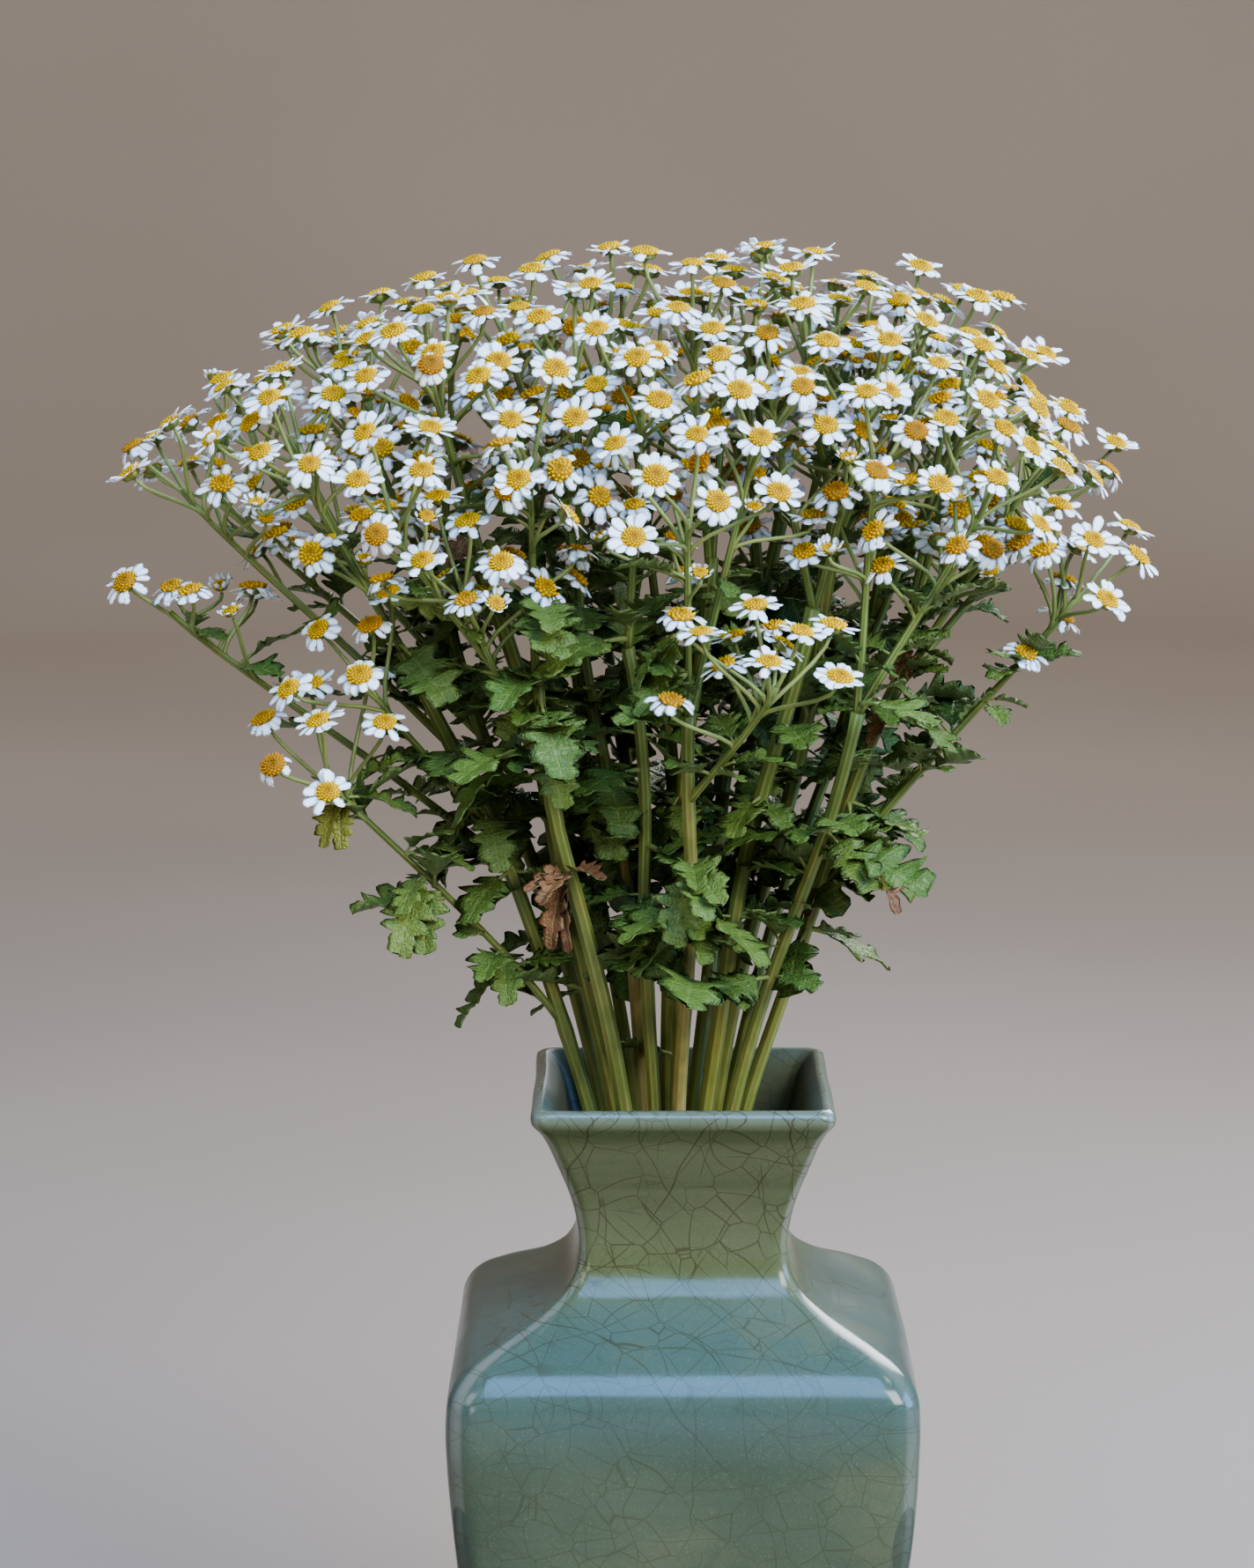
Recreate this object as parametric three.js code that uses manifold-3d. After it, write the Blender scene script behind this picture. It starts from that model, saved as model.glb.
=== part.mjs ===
// Feverfew in a square celadon vase, in millimetres, +Z up.
// The origin is the middle of the vase's flat foot, -Y is the side that faces the viewer.
import * as THREE from "three";
import { mergeVertices } from "three/addons/utils/BufferGeometryUtils.js";
import Module from "manifold-3d";

const wasm = await Module();
wasm.setup();

// Vase: [height, half width across the flats, corner radius], up the outside and down the inside.
const rimHeight = 260;
const floorHeight = 8;
const vaseOutside = [
  [0, 53, 9],
  [4, 54.6, 9.5],
  [62, 65.8, 10],
  [112, 72.2, 10],
  [148, 75.1, 10],
  [165, 75.2, 10],
  [171, 74.6, 9.5],
  [176, 72.3, 9.5],
  [180, 68.6, 9],
  [184, 61.8, 8],
  [193, 44.2, 6.5],
  [197.5, 38.6, 5.5],
  [203, 35.3, 5],
  [211, 34, 5],
  [222, 35, 5],
  [239, 40.4, 5],
  [252, 46.2, 5],
  [255, 48.5, 5],
  [258.7, 48.4, 5],
];
const vaseInside = [
  [rimHeight, 45.6, 4.5],
  [258.2, 43.5, 4],
  [239, 36.2, 4],
  [210, 29.4, 4],
  [201, 30.6, 4],
  [192, 38.6, 4.5],
  [184, 52.5, 5],
  [176, 61, 5.5],
  [160, 69, 6],
  [60, 59.5, 6],
  [floorHeight, 48, 6],
];

// Bundle: stems pass the waist of the vase side by side and fan out above it and below it.
const bundleX = -4.6;
const waistDrop = -50;
const waistSpread = 49;
const fanAbove = 1;
const fanBelow = 0.25;
const stemFootGap = 0.3;
const stemSway = 0.02;
const swayStarts = 90;
const swayPhase = 2.4;
const swayWaves = [34, 41];
const stemSites = [
  [-0.4, -0.13],
  [-0.22, -0.27],
  [-0.07, -0.2],
  [0.05, -0.29],
  [0.19, -0.18],
  [0.32, -0.24],
  [0.4, -0.06],
  [-0.27, -0.08],
  [-0.12, -0.04],
  [0.04, -0.07],
  [0.24, 0.0],
  [-0.34, 0.09],
  [-0.18, 0.14],
  [0.0, 0.1],
  [0.14, 0.14],
  [0.32, 0.15],
  [-0.08, 0.27],
  [0.18, 0.29],
];
const stemSides = 4;
const stemRadiusFoot = 2.7;
const stemRadiusTop = 1.5;
const stemBends = [0.3, 0.65];
const stemTopLeast = 60;
const stemTopAboveFork = 4;
const branchSides = 3;
const branchShares = [0, 0.42, 1];
const branchRadii = [0.5, 1.6, 1.4];
const branchRadius = Math.max(...branchRadii);
const branchEase = 1.35;

// Canopy: a dome of flower heads, longer to the left than to the right.
const crestHeight = 268;
const crestFall = 77;
const reachLeft = 194;
const reachRight = 145;
const reachFront = 98;
const reachBack = 84;
const acrossPower = 2.8;
const depthPower = 2.2;
const spraysInDome = 44;
const domeFill = 0.94;
const domeRoughness = 9;
const domeSink = 8.4;
const goldenAngle = Math.PI * (3 - Math.sqrt(5));

// Spray: how many heads, where it forks off its stem, and how its heads sit
const headsInFront = 6;
const headsBehind = 4;
const frontEndsAt = 12;
const fewerHeadsShare = 0.55;
const forkDrop = 75;
const forkDropSpread = 45;
const stemChosenBelow = 30;
const crownBack = 14;
const crownDrop = 8;
const headSpacing = 11.5;
const middleHeadOut = 0.15;
const ringHeadsOut = 0.4;
const sprayDome = 90;
const sprayRoughness = 5;
const headSplay = 0.012;
const headLean = 0.42;
const stalkRootLeast = 1.5;
const stalkRootSpread = 0.5;
const layoutSeed = 8;

// Sprays off the dome: [x, y, height above the rim, heads, stem, height of the fork, facing x, y, z].
const sprayExtras = [
  [-117, -56, 127, 7, 0, 20, -0.3, -0.55, 0.8],
  [-104, -52, 154, 5, 0, 84, -0.35, -0.6, 0.7],
  [29, -88, 162, 6, 3, 100, 0.1, -0.4, 0.9],
  [131, -34, 182, 5, 6, 62, 0.4, -0.5, 0.75],
  [126, 56, 216, 6, 15, 116, 0.3, -0.2, 0.9],
  [84, 14, 254, 5, 10, 168, 0.25, -0.35, 0.9],
  [-172, -30, 172, 1, 0, 74, -0.6, -0.6, 0.5],
  [-72, -70, 186, 4, 1, 100, -0.2, -0.7, 0.7],
];

// Flower head
const petalsPerHead = 5;
const petalReach = 9.4;
const petalTipHalfAngle = 0.4;
const petalDroop = 0.5;
const discRadius = 3.7;
const discRise = 1.9;
const calyxDepth = 2.8;
const calyxRadius = 1.1;
const pedicelRadius = 0.75;
const pedicelRootRadius = 0.3;

// Room that heads and their stalks keep from each other
const headRoom = 19.6;
const stackedRoom = 11.6;
const levelSame = 4.6;
const levelStacked = 7.2;
const levelClear = 15;
const stalkRoom = 10.7;
const stalkSlab = 3;
const stalkGap = 0.6;

// Settling: how far apart things are still compared, and the share of a clash mended in one round
const settlingRounds = 70;
const comparedHeads = 70;
const comparedRoots = 90;
const comparedBranches = 120;
const headPush = 0.3;
const stalkPush = 0.25;
const crossingPush = 0.6;
const branchPush = 0.8;
const petalPush = 0.4;
const homePull = 0.02;

// Leaf: outline from the foot of the stalk to the tip, as shares of its length.
const leafHalfOutline = [
  [0, 0.026],
  [0.26, 0.03],
  [0.4, 0.28],
  [0.51, 0.12],
  [0.67, 0.33],
  [0.8, 0.12],
  [1, 0],
];
const leafRib = [0, 0.46, 0.74];
const leafRibThickness = 0.55;
const leafFold = 0.18;
const leafDroop = 0.3;
const leafClear = 1.3;
const leafApart = 3.2;
const leafLeast = 14;
const leafRoomAcross = 0.33;
const leafStalkEnds = 0.35;
const leafSearch = 60;
const headHalfDepth = 4;
const leafTurns = [0, 0.35, -0.35, 0.7, -0.7, 1.1, -1.1, 1.6, -1.6, 2.2, -2.2, 3];
const leafShrinks = [1, 0.85, 0.7];

// Edges shorter than this are closed up where pieces are joined.
const joinTolerance = 0.02;

// Large leaves: [carrier, its number, height above the rim, way x, y, z, length].
// A carrier is a stem, or a spray off the dome.
const leaves = [
  ["stem", 1, 120, -0.85, -0.4, -0.3, 38],
  ["spray", 0, 66, -0.95, -0.3, 0.05, 30],
  ["spray", 0, 70, -0.3, -0.5, 0.8, 24],
  ["spray", 0, 41, -0.75, -0.3, -0.45, 24],
  ["spray", 0, 96, -0.6, -0.3, 0.5, 20],
  ["stem", 2, 156, -0.85, -0.4, 0.1, 34],
  ["stem", 2, 108, -0.6, -0.7, 0.1, 28],
  ["stem", 3, 62, 0.75, -0.6, 0.1, 32],
  ["stem", 3, 66, -0.7, -0.6, -0.1, 28],
  ["stem", 3, 138, -0.6, -0.7, 0.2, 28],
  ["stem", 5, 84, 0.85, -0.5, -0.1, 38],
  ["stem", 5, 90, 0.2, -0.8, 0.4, 28],
  ["stem", 6, 78, 0.9, -0.3, -0.25, 30],
  ["stem", 6, 122, 0.8, -0.5, 0.15, 32],
  ["stem", 5, 150, 0.6, -0.7, 0.2, 30],
  ["spray", 3, 140, 0.8, -0.2, 0.4, 20],
  ["stem", 0, 150, -0.8, -0.4, -0.3, 32],
  ["stem", 7, 165, -0.7, -0.5, 0.1, 30],
  ["stem", 1, 152, -0.6, -0.7, 0.1, 28],
  ["stem", 4, 122, 0.5, -0.8, 0.1, 28],
  ["stem", 2, 44, -0.6, -0.7, 0.3, 24],
  ["stem", 11, 96, -0.9, 0.3, 0.1, 32],
  ["stem", 12, 130, -0.6, 0.7, 0.1, 32],
  ["stem", 16, 88, -0.3, 0.9, 0.1, 34],
  ["stem", 16, 140, 0.3, 0.9, 0.2, 28],
  ["stem", 17, 70, 0.5, 0.8, 0.1, 34],
  ["stem", 17, 118, -0.3, 0.9, 0.1, 30],
  ["stem", 15, 100, 0.8, 0.5, 0.1, 34],
  ["stem", 11, 150, -0.6, 0.6, 0.2, 28],
];

const glazeMaterial = new THREE.MeshStandardMaterial({
  color: 0x8fa695,
  roughness: 0.22,
  metalness: 0,
});
const greenHues = [0.24, 0.25, 0.26, 0.27];
const greenSaturation = 0.38;
const greenLightness = 0.36;

// Seeded draws between 0 and 1
function seededDraws(seed) {
  let state = seed | 0;
  return function draw() {
    state = (state + 0x6d2b79f5) | 0;
    let mixed = Math.imul(state ^ (state >>> 15), 1 | state);
    mixed = (mixed + Math.imul(mixed ^ (mixed >>> 7), 61 | mixed)) ^ mixed;
    return ((mixed ^ (mixed >>> 14)) >>> 0) / 4294967296;
  };
}

// Closed surface through rings of equal count, capped at both ends
function loft(rings) {
  const count = rings[0].length;
  const index = [];
  for (let r = 0; r + 1 < rings.length; r++) {
    for (let k = 0; k < count; k++) {
      const here = r * count + k;
      const next = r * count + ((k + 1) % count);
      index.push(here, next, next + count, here, next + count, here + count);
    }
  }
  const last = (rings.length - 1) * count;
  for (let k = 1; k + 1 < count; k++) {
    index.push(0, k + 1, k);
    index.push(last, last + k, last + k + 1);
  }
  const geometry = new THREE.BufferGeometry().setFromPoints(rings.flat());
  geometry.setIndex(index);
  return geometry;
}

// Square with rounded corners, at one height
function roundedSquare([height, halfWidth, radius]) {
  const ring = [];
  for (let corner = 0; corner < 4; corner++) {
    const middle = Math.PI / 4 + (corner * Math.PI) / 2;
    const reach = (halfWidth - radius) * Math.SQRT2;
    for (const turn of [-Math.PI / 4, 0, Math.PI / 4]) {
      ring.push(
        new THREE.Vector3(
          reach * Math.cos(middle) + radius * Math.cos(middle + turn),
          reach * Math.sin(middle) + radius * Math.sin(middle + turn),
          height,
        ),
      );
    }
  }
  return ring;
}

function vaseGeometry() {
  return loft([...vaseOutside, ...vaseInside].map(roundedSquare));
}

// Tapered rod along points, with one radius for each point
function taperedRod(points, radii, sides) {
  let side = new THREE.Vector3(1, 0, 0);
  const rings = points.map((point, i) => {
    const before = points[Math.max(i - 1, 0)];
    const after = points[Math.min(i + 1, points.length - 1)];
    const along = after.clone().sub(before).normalize();
    side = side.clone().addScaledVector(along, -side.dot(along)).normalize();
    const across = along.clone().cross(side);
    return Array.from({ length: sides }, (_, k) => {
      const angle = (2 * Math.PI * k) / sides;
      return point
        .clone()
        .addScaledVector(side, radii[i] * Math.cos(angle))
        .addScaledVector(across, radii[i] * Math.sin(angle));
    });
  });
  return loft(rings);
}

// Width of the bundle at a height above the rim
function spreadAt(height) {
  const rise = height - waistDrop;
  return Math.hypot(waistSpread, rise * (rise > 0 ? fanAbove : fanBelow));
}

// Point of the bundle: a and b say how far out across and in depth
function inBundle(a, b, height) {
  const spread = spreadAt(height);
  return new THREE.Vector3(bundleX + a * spread, b * spread, rimHeight + height);
}

function bundlePlace(x, y, height) {
  const spread = spreadAt(height);
  return [(x - bundleX) / spread, y / spread];
}

// Height of the dome above the rim, and the direction that it faces
function domeShape(x, y) {
  const reachX = x < 0 ? reachLeft : reachRight;
  const reachY = y < 0 ? reachFront : reachBack;
  const across = Math.abs(x) / reachX;
  const depth = Math.abs(y) / reachY;
  const fall = Math.pow(across, acrossPower) + Math.pow(depth, depthPower);
  const slopeX = (Math.sign(x) * acrossPower * Math.pow(across, acrossPower - 1)) / reachX;
  const slopeY = (Math.sign(y) * depthPower * Math.pow(depth, depthPower - 1)) / reachY;
  return {
    height: crestHeight - crestFall * fall,
    facing: new THREE.Vector3(crestFall * slopeX, crestFall * slopeY, 1).normalize(),
  };
}

// Line of one stem: its place in the bundle at any height
function stemLine(number) {
  const [a, b] = stemSites[number];
  const [waveAcross, waveDepth] = swayWaves;
  const phase = number * swayPhase;
  return (height) => {
    const sway = stemSway * Math.min(Math.max(height, 0) / swayStarts, 1);
    return [
      a + sway * Math.sin(height / waveAcross + phase),
      b + sway * Math.cos(height / waveDepth + phase),
    ];
  };
}

function nearestStem(a, b) {
  let best = 0;
  let least = Infinity;
  stemSites.forEach(([siteA, siteB], number) => {
    const away = Math.hypot(a - siteA, b - siteB);
    if (away < least) {
      least = away;
      best = number;
    }
  });
  return best;
}

// Every spray: the middle of its heads, what it faces, its stem and its fork
function planSprays(draw) {
  const sprays = [];
  for (let i = 0; i < spraysInDome; i++) {
    const out = domeFill * Math.sqrt((i + 0.5) / spraysInDome);
    const turn = i * goldenAngle;
    const alongX = out * Math.cos(turn);
    const alongY = out * Math.sin(turn);
    const x = alongX * (alongX < 0 ? reachLeft : reachRight);
    const y = alongY * (alongY < 0 ? reachFront : reachBack);
    const { height, facing } = domeShape(x, y);
    const level = height - domeSink + domeRoughness * draw();
    const [a, b] = bundlePlace(x, y, level - stemChosenBelow);
    const heads = y < frontEndsAt ? headsInFront : headsBehind;
    sprays.push({
      middle: new THREE.Vector3(x, y, rimHeight + level),
      facing,
      heads: heads - (draw() < fewerHeadsShare ? 1 : 0),
      stem: nearestStem(a, b),
      fork: level - forkDrop - forkDropSpread * draw(),
    });
  }
  for (const [x, y, height, heads, stem, fork, faceX, faceY, faceZ] of sprayExtras) {
    sprays.push({
      middle: new THREE.Vector3(x, y, rimHeight + height),
      facing: new THREE.Vector3(faceX, faceY, faceZ).normalize(),
      heads,
      stem,
      fork,
    });
  }
  return sprays;
}

// Main stem from the vase's floor to just above its highest fork
function stemRod(number, sprays) {
  const line = stemLine(number);
  const forks = sprays.filter((spray) => spray.stem === number).map((spray) => spray.fork);
  const top = Math.max(...forks, stemTopLeast) + stemTopAboveFork;
  const foot = floorHeight + stemFootGap - rimHeight;
  const heights = [foot, waistDrop, ...stemBends.map((share) => share * top), top];
  const taper = (stemRadiusTop - stemRadiusFoot) / (heights.length - 1);
  return {
    points: heights.map((height) => inBundle(...line(height), height)),
    radii: heights.map((_, i) => stemRadiusFoot + taper * i),
  };
}

// Branch of a spray: out from its stem first, then up below its heads
function branchPoints(spray, stemPoints) {
  const crown = spray.middle.clone().addScaledVector(spray.facing, -crownBack);
  crown.z -= crownDrop;
  const top = crown.z - rimHeight;
  const [crownA, crownB] = bundlePlace(crown.x, crown.y, top);
  const root = pathAtHeight(stemPoints, rimHeight + spray.fork);
  const [rootA, rootB] = bundlePlace(root.x, root.y, spray.fork);
  return branchShares.map((share) => {
    const eased = 1 - Math.pow(1 - share, branchEase);
    const height = spray.fork + (top - spray.fork) * share;
    return inBundle(rootA + (crownA - rootA) * eased, rootB + (crownB - rootB) * eased, height);
  });
}

// Point at a distance back from the tip of a branch
function backFromTip(points, distance) {
  let left = distance;
  for (let i = points.length - 1; i > 0; i--) {
    const length = points[i].distanceTo(points[i - 1]);
    if (left <= length) return points[i].clone().lerp(points[i - 1], left / length);
    left -= length;
  }
  return points[0].clone();
}

// Flower heads of one spray, before they settle
function planHeads(spray, draw) {
  const sideways = new THREE.Vector3(0, 0, 1).cross(spray.facing).normalize();
  const upward = spray.facing.clone().cross(sideways);
  const start = 2 * Math.PI * draw();
  const firstOut = spray.heads > headsBehind ? middleHeadOut : ringHeadsOut;
  return Array.from({ length: spray.heads }, (_, k) => {
    const out = headSpacing * Math.sqrt(k + firstOut);
    const turn = start + k * goldenAngle;
    const outward = sideways
      .clone()
      .multiplyScalar(Math.cos(turn))
      .addScaledVector(upward, Math.sin(turn));
    const place = spray.middle
      .clone()
      .addScaledVector(outward, out)
      .addScaledVector(spray.facing, -(out * out) / sprayDome + sprayRoughness * (draw() - 0.5));
    const lean = new THREE.Vector3(draw() - 0.5, draw() - 0.5, draw() - 0.5);
    const facing = spray.facing
      .clone()
      .addScaledVector(outward, headSplay * out)
      .addScaledVector(lean, headLean)
      .normalize();
    return {
      stem: spray.stem,
      place,
      home: place.clone(),
      facing,
      root: backFromTip(spray.branch, stalkRootLeast + stalkRootSpread * out),
      turn: 2 * Math.PI * draw(),
    };
  });
}

function headNeck(head) {
  return head.place.clone().addScaledVector(head.facing, -calyxDepth);
}

// Two heads draw apart, sideways on one level or by lifting one over the other
function partHeads(one, two) {
  const between = two.place.clone().sub(one.place);
  const facing = one.facing.clone().add(two.facing).normalize();
  const rise = between.dot(facing);
  const flat = between.clone().addScaledVector(facing, -rise);
  const away = Math.max(flat.length(), 1e-6);
  const level = Math.abs(rise);
  if (level > levelClear) return;
  const blend = Math.min(Math.max((level - levelSame) / (levelStacked - levelSame), 0), 1);
  const room = headRoom + (stackedRoom - headRoom) * blend;
  const short = room - away;
  if (short <= 0) return;
  const lift = levelStacked - level;
  if (away > stackedRoom && lift > 0 && lift < short) {
    const step = (headPush * lift * (rise < 0 ? -1 : 1)) / 2;
    one.place.addScaledVector(facing, -step);
    two.place.addScaledVector(facing, step);
    return;
  }
  const push = (headPush * short) / away;
  one.place.addScaledVector(flat, -push);
  two.place.addScaledVector(flat, push);
}

// A head draws clear of a stalk, which gives way with its own head
function clearStalk(head, other) {
  const neck = headNeck(other);
  const low = other.root.clone().sub(head.place).dot(head.facing);
  const high = neck.clone().sub(head.place).dot(head.facing);
  if (Math.min(Math.abs(low), Math.abs(high)) > stalkSlab && low * high > 0) return;
  const share = low * high < 0 ? low / (low - high) : Math.abs(low) < Math.abs(high) ? 0 : 1;
  const point = other.root.clone().lerp(neck, share);
  const flat = point.sub(head.place);
  flat.addScaledVector(head.facing, -flat.dot(head.facing));
  const away = Math.max(flat.length(), 1e-6);
  const short = stalkRoom - away;
  if (short <= 0) return;
  const push = (stalkPush * short) / away;
  head.place.addScaledVector(flat, -push);
  other.place.addScaledVector(flat, push * share);
}

// Shares along two straight rods where they come closest
function closestShares(a0, a1, b0, b1) {
  const u = a1.clone().sub(a0);
  const v = b1.clone().sub(b0);
  const w = a0.clone().sub(b0);
  const uu = u.dot(u);
  const uv = u.dot(v);
  const vv = v.dot(v);
  const uw = u.dot(w);
  const vw = v.dot(w);
  const spread = Math.max(uu * vv - uv * uv, 1e-9);
  let s = Math.min(Math.max((uv * vw - vv * uw) / spread, 0), 1);
  const t = Math.min(Math.max((uv * s + vw) / vv, 0), 1);
  s = Math.min(Math.max((uv * t - uw) / uu, 0), 1);
  return [s, t];
}

// Two stalks of different stems draw apart
function partStalks(one, two) {
  if (one.root.distanceTo(two.root) > comparedRoots) return;
  const neckOne = headNeck(one);
  const neckTwo = headNeck(two);
  const [s, t] = closestShares(one.root, neckOne, two.root, neckTwo);
  const between = two.root.clone().lerp(neckTwo, t).sub(one.root.clone().lerp(neckOne, s));
  const away = Math.max(between.length(), 1e-6);
  const short = 2 * pedicelRadius + stalkGap - away;
  if (short <= 0) return;
  const push = (crossingPush * short) / away;
  one.place.addScaledVector(between, -push * s);
  two.place.addScaledVector(between, push * t);
}

// A stalk and a head draw clear of a branch of another stem
function clearBranch(head, branch) {
  for (let i = 0; i + 1 < branch.points.length; i++) {
    const from = branch.points[i];
    const to = branch.points[i + 1];
    const neck = headNeck(head);
    const [s, t] = closestShares(head.root, neck, from, to);
    const between = head.root.clone().lerp(neck, s).sub(from.clone().lerp(to, t));
    const away = Math.max(between.length(), 1e-6);
    const short = pedicelRadius + branch.radius + stalkGap - away;
    if (short > 0) head.place.addScaledVector(between, (branchPush * short * s) / away);
    const low = from.clone().sub(head.place).dot(head.facing);
    const high = to.clone().sub(head.place).dot(head.facing);
    if (Math.min(Math.abs(low), Math.abs(high)) > stalkSlab && low * high > 0) continue;
    const share = low * high < 0 ? low / (low - high) : Math.abs(low) < Math.abs(high) ? 0 : 1;
    const flat = from.clone().lerp(to, share).sub(head.place);
    flat.addScaledVector(head.facing, -flat.dot(head.facing));
    const gap = Math.max(flat.length(), 1e-6);
    const needed = petalReach + branch.radius + stalkGap - gap;
    if (needed > 0) head.place.addScaledVector(flat, (-petalPush * needed) / gap);
  }
}

function settle(heads, branches) {
  for (let round = 0; round < settlingRounds; round++) {
    for (let i = 0; i < heads.length; i++) {
      for (let j = i + 1; j < heads.length; j++) {
        const apart = heads[i].place.distanceTo(heads[j].place);
        if (apart > comparedHeads) continue;
        partHeads(heads[i], heads[j]);
        clearStalk(heads[i], heads[j]);
        clearStalk(heads[j], heads[i]);
        if (heads[i].stem !== heads[j].stem) partStalks(heads[i], heads[j]);
      }
    }
    for (const head of heads) {
      for (const branch of branches) {
        const crown = branch.points[branch.points.length - 1];
        const compared = branch.stem !== head.stem && crown.distanceTo(head.place) < comparedBranches;
        if (compared) clearBranch(head, branch);
      }
      if (round < settlingRounds / 2) head.place.lerp(head.home, homePull);
    }
  }
}

// Flower head with its stalk: domed disc, blunt petals, calyx and a three-sided stalk to its root
function headGeometry(head) {
  const up = head.facing;
  const side = new THREE.Vector3(Math.cos(head.turn), Math.sin(head.turn), 0);
  side.addScaledVector(up, -side.dot(up)).normalize();
  const across = up.clone().cross(side);
  const at = (radius, angle, lift) =>
    head.place
      .clone()
      .addScaledVector(side, radius * Math.cos(angle))
      .addScaledVector(across, radius * Math.sin(angle))
      .addScaledVector(up, lift);
  const points = [at(0, 0, discRise)];
  const step = (2 * Math.PI) / petalsPerHead;
  for (let k = 0; k < petalsPerHead; k++) {
    const middle = (k + 0.5) * step;
    points.push(at(discRadius, k * step, 0));
    points.push(at(petalReach, middle - petalTipHalfAngle, -petalDroop));
    points.push(at(petalReach, middle + petalTipHalfAngle, -petalDroop));
  }
  const edge = 3 * petalsPerHead;
  const rim = (k) => 1 + (k % edge);
  const neck = points.length;
  const third = (2 * Math.PI) / 3;
  const neckAngle = (k) => (k + 0.5) * third;
  for (let k = 0; k < 3; k++) points.push(at(calyxRadius, neckAngle(k), -calyxDepth));
  const stalk = headNeck(head).sub(head.root).normalize();
  const footSide = side.clone().addScaledVector(stalk, -side.dot(stalk)).normalize();
  const footAcross = stalk.clone().cross(footSide);
  for (let k = 0; k < 3; k++) {
    points.push(
      head.root
        .clone()
        .addScaledVector(footSide, pedicelRootRadius * Math.cos(neckAngle(k)))
        .addScaledVector(footAcross, pedicelRootRadius * Math.sin(neckAngle(k))),
    );
  }
  const index = [];
  for (let k = 0; k < petalsPerHead; k++) {
    const notch = rim(3 * k);
    const tipOne = rim(3 * k + 1);
    const tipTwo = rim(3 * k + 2);
    const next = rim(3 * k + 3);
    index.push(0, notch, next);
    index.push(notch, tipOne, tipTwo, notch, tipTwo, next);
  }
  for (let k = 0; k < 3; k++) {
    const here = neck + k;
    const next = neck + ((k + 1) % 3);
    for (let j = 0; j < petalsPerHead; j++) {
      index.push(here, rim(k * petalsPerHead + j + 1), rim(k * petalsPerHead + j));
    }
    index.push(here, next, rim((k + 1) * petalsPerHead));
    index.push(here, here + 3, next, next, here + 3, next + 3);
  }
  index.push(neck + 3, neck + 5, neck + 4);
  const geometry = new THREE.BufferGeometry().setFromPoints(points);
  geometry.setIndex(index);
  return geometry;
}

// Point of a leaf's blade: shares of its length along and across, and a lift off the blade
function leafPoint(leaf, x, y, lift) {
  const sideways = new THREE.Vector3(0, 0, 1).cross(leaf.direction).normalize();
  const up = leaf.direction.clone().cross(sideways);
  return leaf.root
    .clone()
    .addScaledVector(leaf.direction, x * leaf.length)
    .addScaledVector(sideways, y * leaf.length)
    .addScaledVector(up, lift + leaf.length * (leafFold * Math.abs(y) - leafDroop * x * x));
}

function distanceToRod(point, from, to) {
  const along = to.clone().sub(from);
  const share = point.clone().sub(from).dot(along) / along.lengthSq();
  return point.distanceTo(from.clone().addScaledVector(along, Math.min(Math.max(share, 0), 1)));
}

// Points over a leaf's blade and the end of its stalk
function leafSamples(leaf) {
  const samples = [];
  for (const x of [0.3, 0.4, 0.5, 0.6, 0.7, 0.8, 0.9, 1]) {
    const narrowing = Math.min(1, (1.05 - x) / leafStalkEnds);
    const half = x < leafStalkEnds ? 0 : leafRoomAcross * narrowing;
    for (const share of [-1, -0.5, 0, 0.5, 1]) samples.push(leafPoint(leaf, x, share * half, 0));
  }
  return samples;
}

// A leaf has room where its blade is clear of other stems, of heads and of the leaves before it
function leafHasRoom(leaf, samples, rods, heads, placed) {
  for (const point of samples) {
    for (const rod of rods) {
      const own = rod.stem === leaf.stem && point.distanceTo(leaf.root) < 0.5 * leaf.length;
      if (own) continue;
      if (distanceToRod(point, rod.from, rod.to) < rod.radius + leafClear) return false;
    }
    for (const head of heads) {
      const offset = point.clone().sub(head.place);
      const level = Math.abs(offset.dot(head.facing));
      if (offset.length() < petalReach + leafClear && level < headHalfDepth) return false;
    }
    for (const other of placed) {
      if (other.samples.some((taken) => point.distanceTo(taken) < leafApart)) return false;
    }
  }
  return true;
}

// Straight stretches of a path, as rods of one stem
function rodsAlong(points, stem, radius) {
  return points.slice(1).map((to, i) => ({ stem, from: points[i], to, radius }));
}

// Large leaves, each turned, and shortened if need be, until it has room
function placeLeaves(stems, sprays, heads) {
  const extras = sprays.slice(spraysInDome);
  const rods = [
    ...heads.flatMap((head) => rodsAlong([head.root, headNeck(head)], head.stem, pedicelRadius)),
    ...sprays.flatMap((spray) => rodsAlong(spray.branch, spray.stem, branchRadius)),
    ...stems.flatMap(({ points }, number) => rodsAlong(points, number, stemRadiusFoot)),
  ];
  const placed = [];
  for (const [carrier, number, height, wayX, wayY, wayZ, length] of leaves) {
    const path = carrier === "stem" ? stems[number].points : extras[number].branch;
    const stem = carrier === "stem" ? number : extras[number].stem;
    const root = pathAtHeight(path, rimHeight + height);
    const way = new THREE.Vector3(wayX, wayY, wayZ).normalize();
    const found = findRoom({ stem, root, length }, way, rods, heads, placed);
    if (found) placed.push(found);
  }
  return placed;
}

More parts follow.
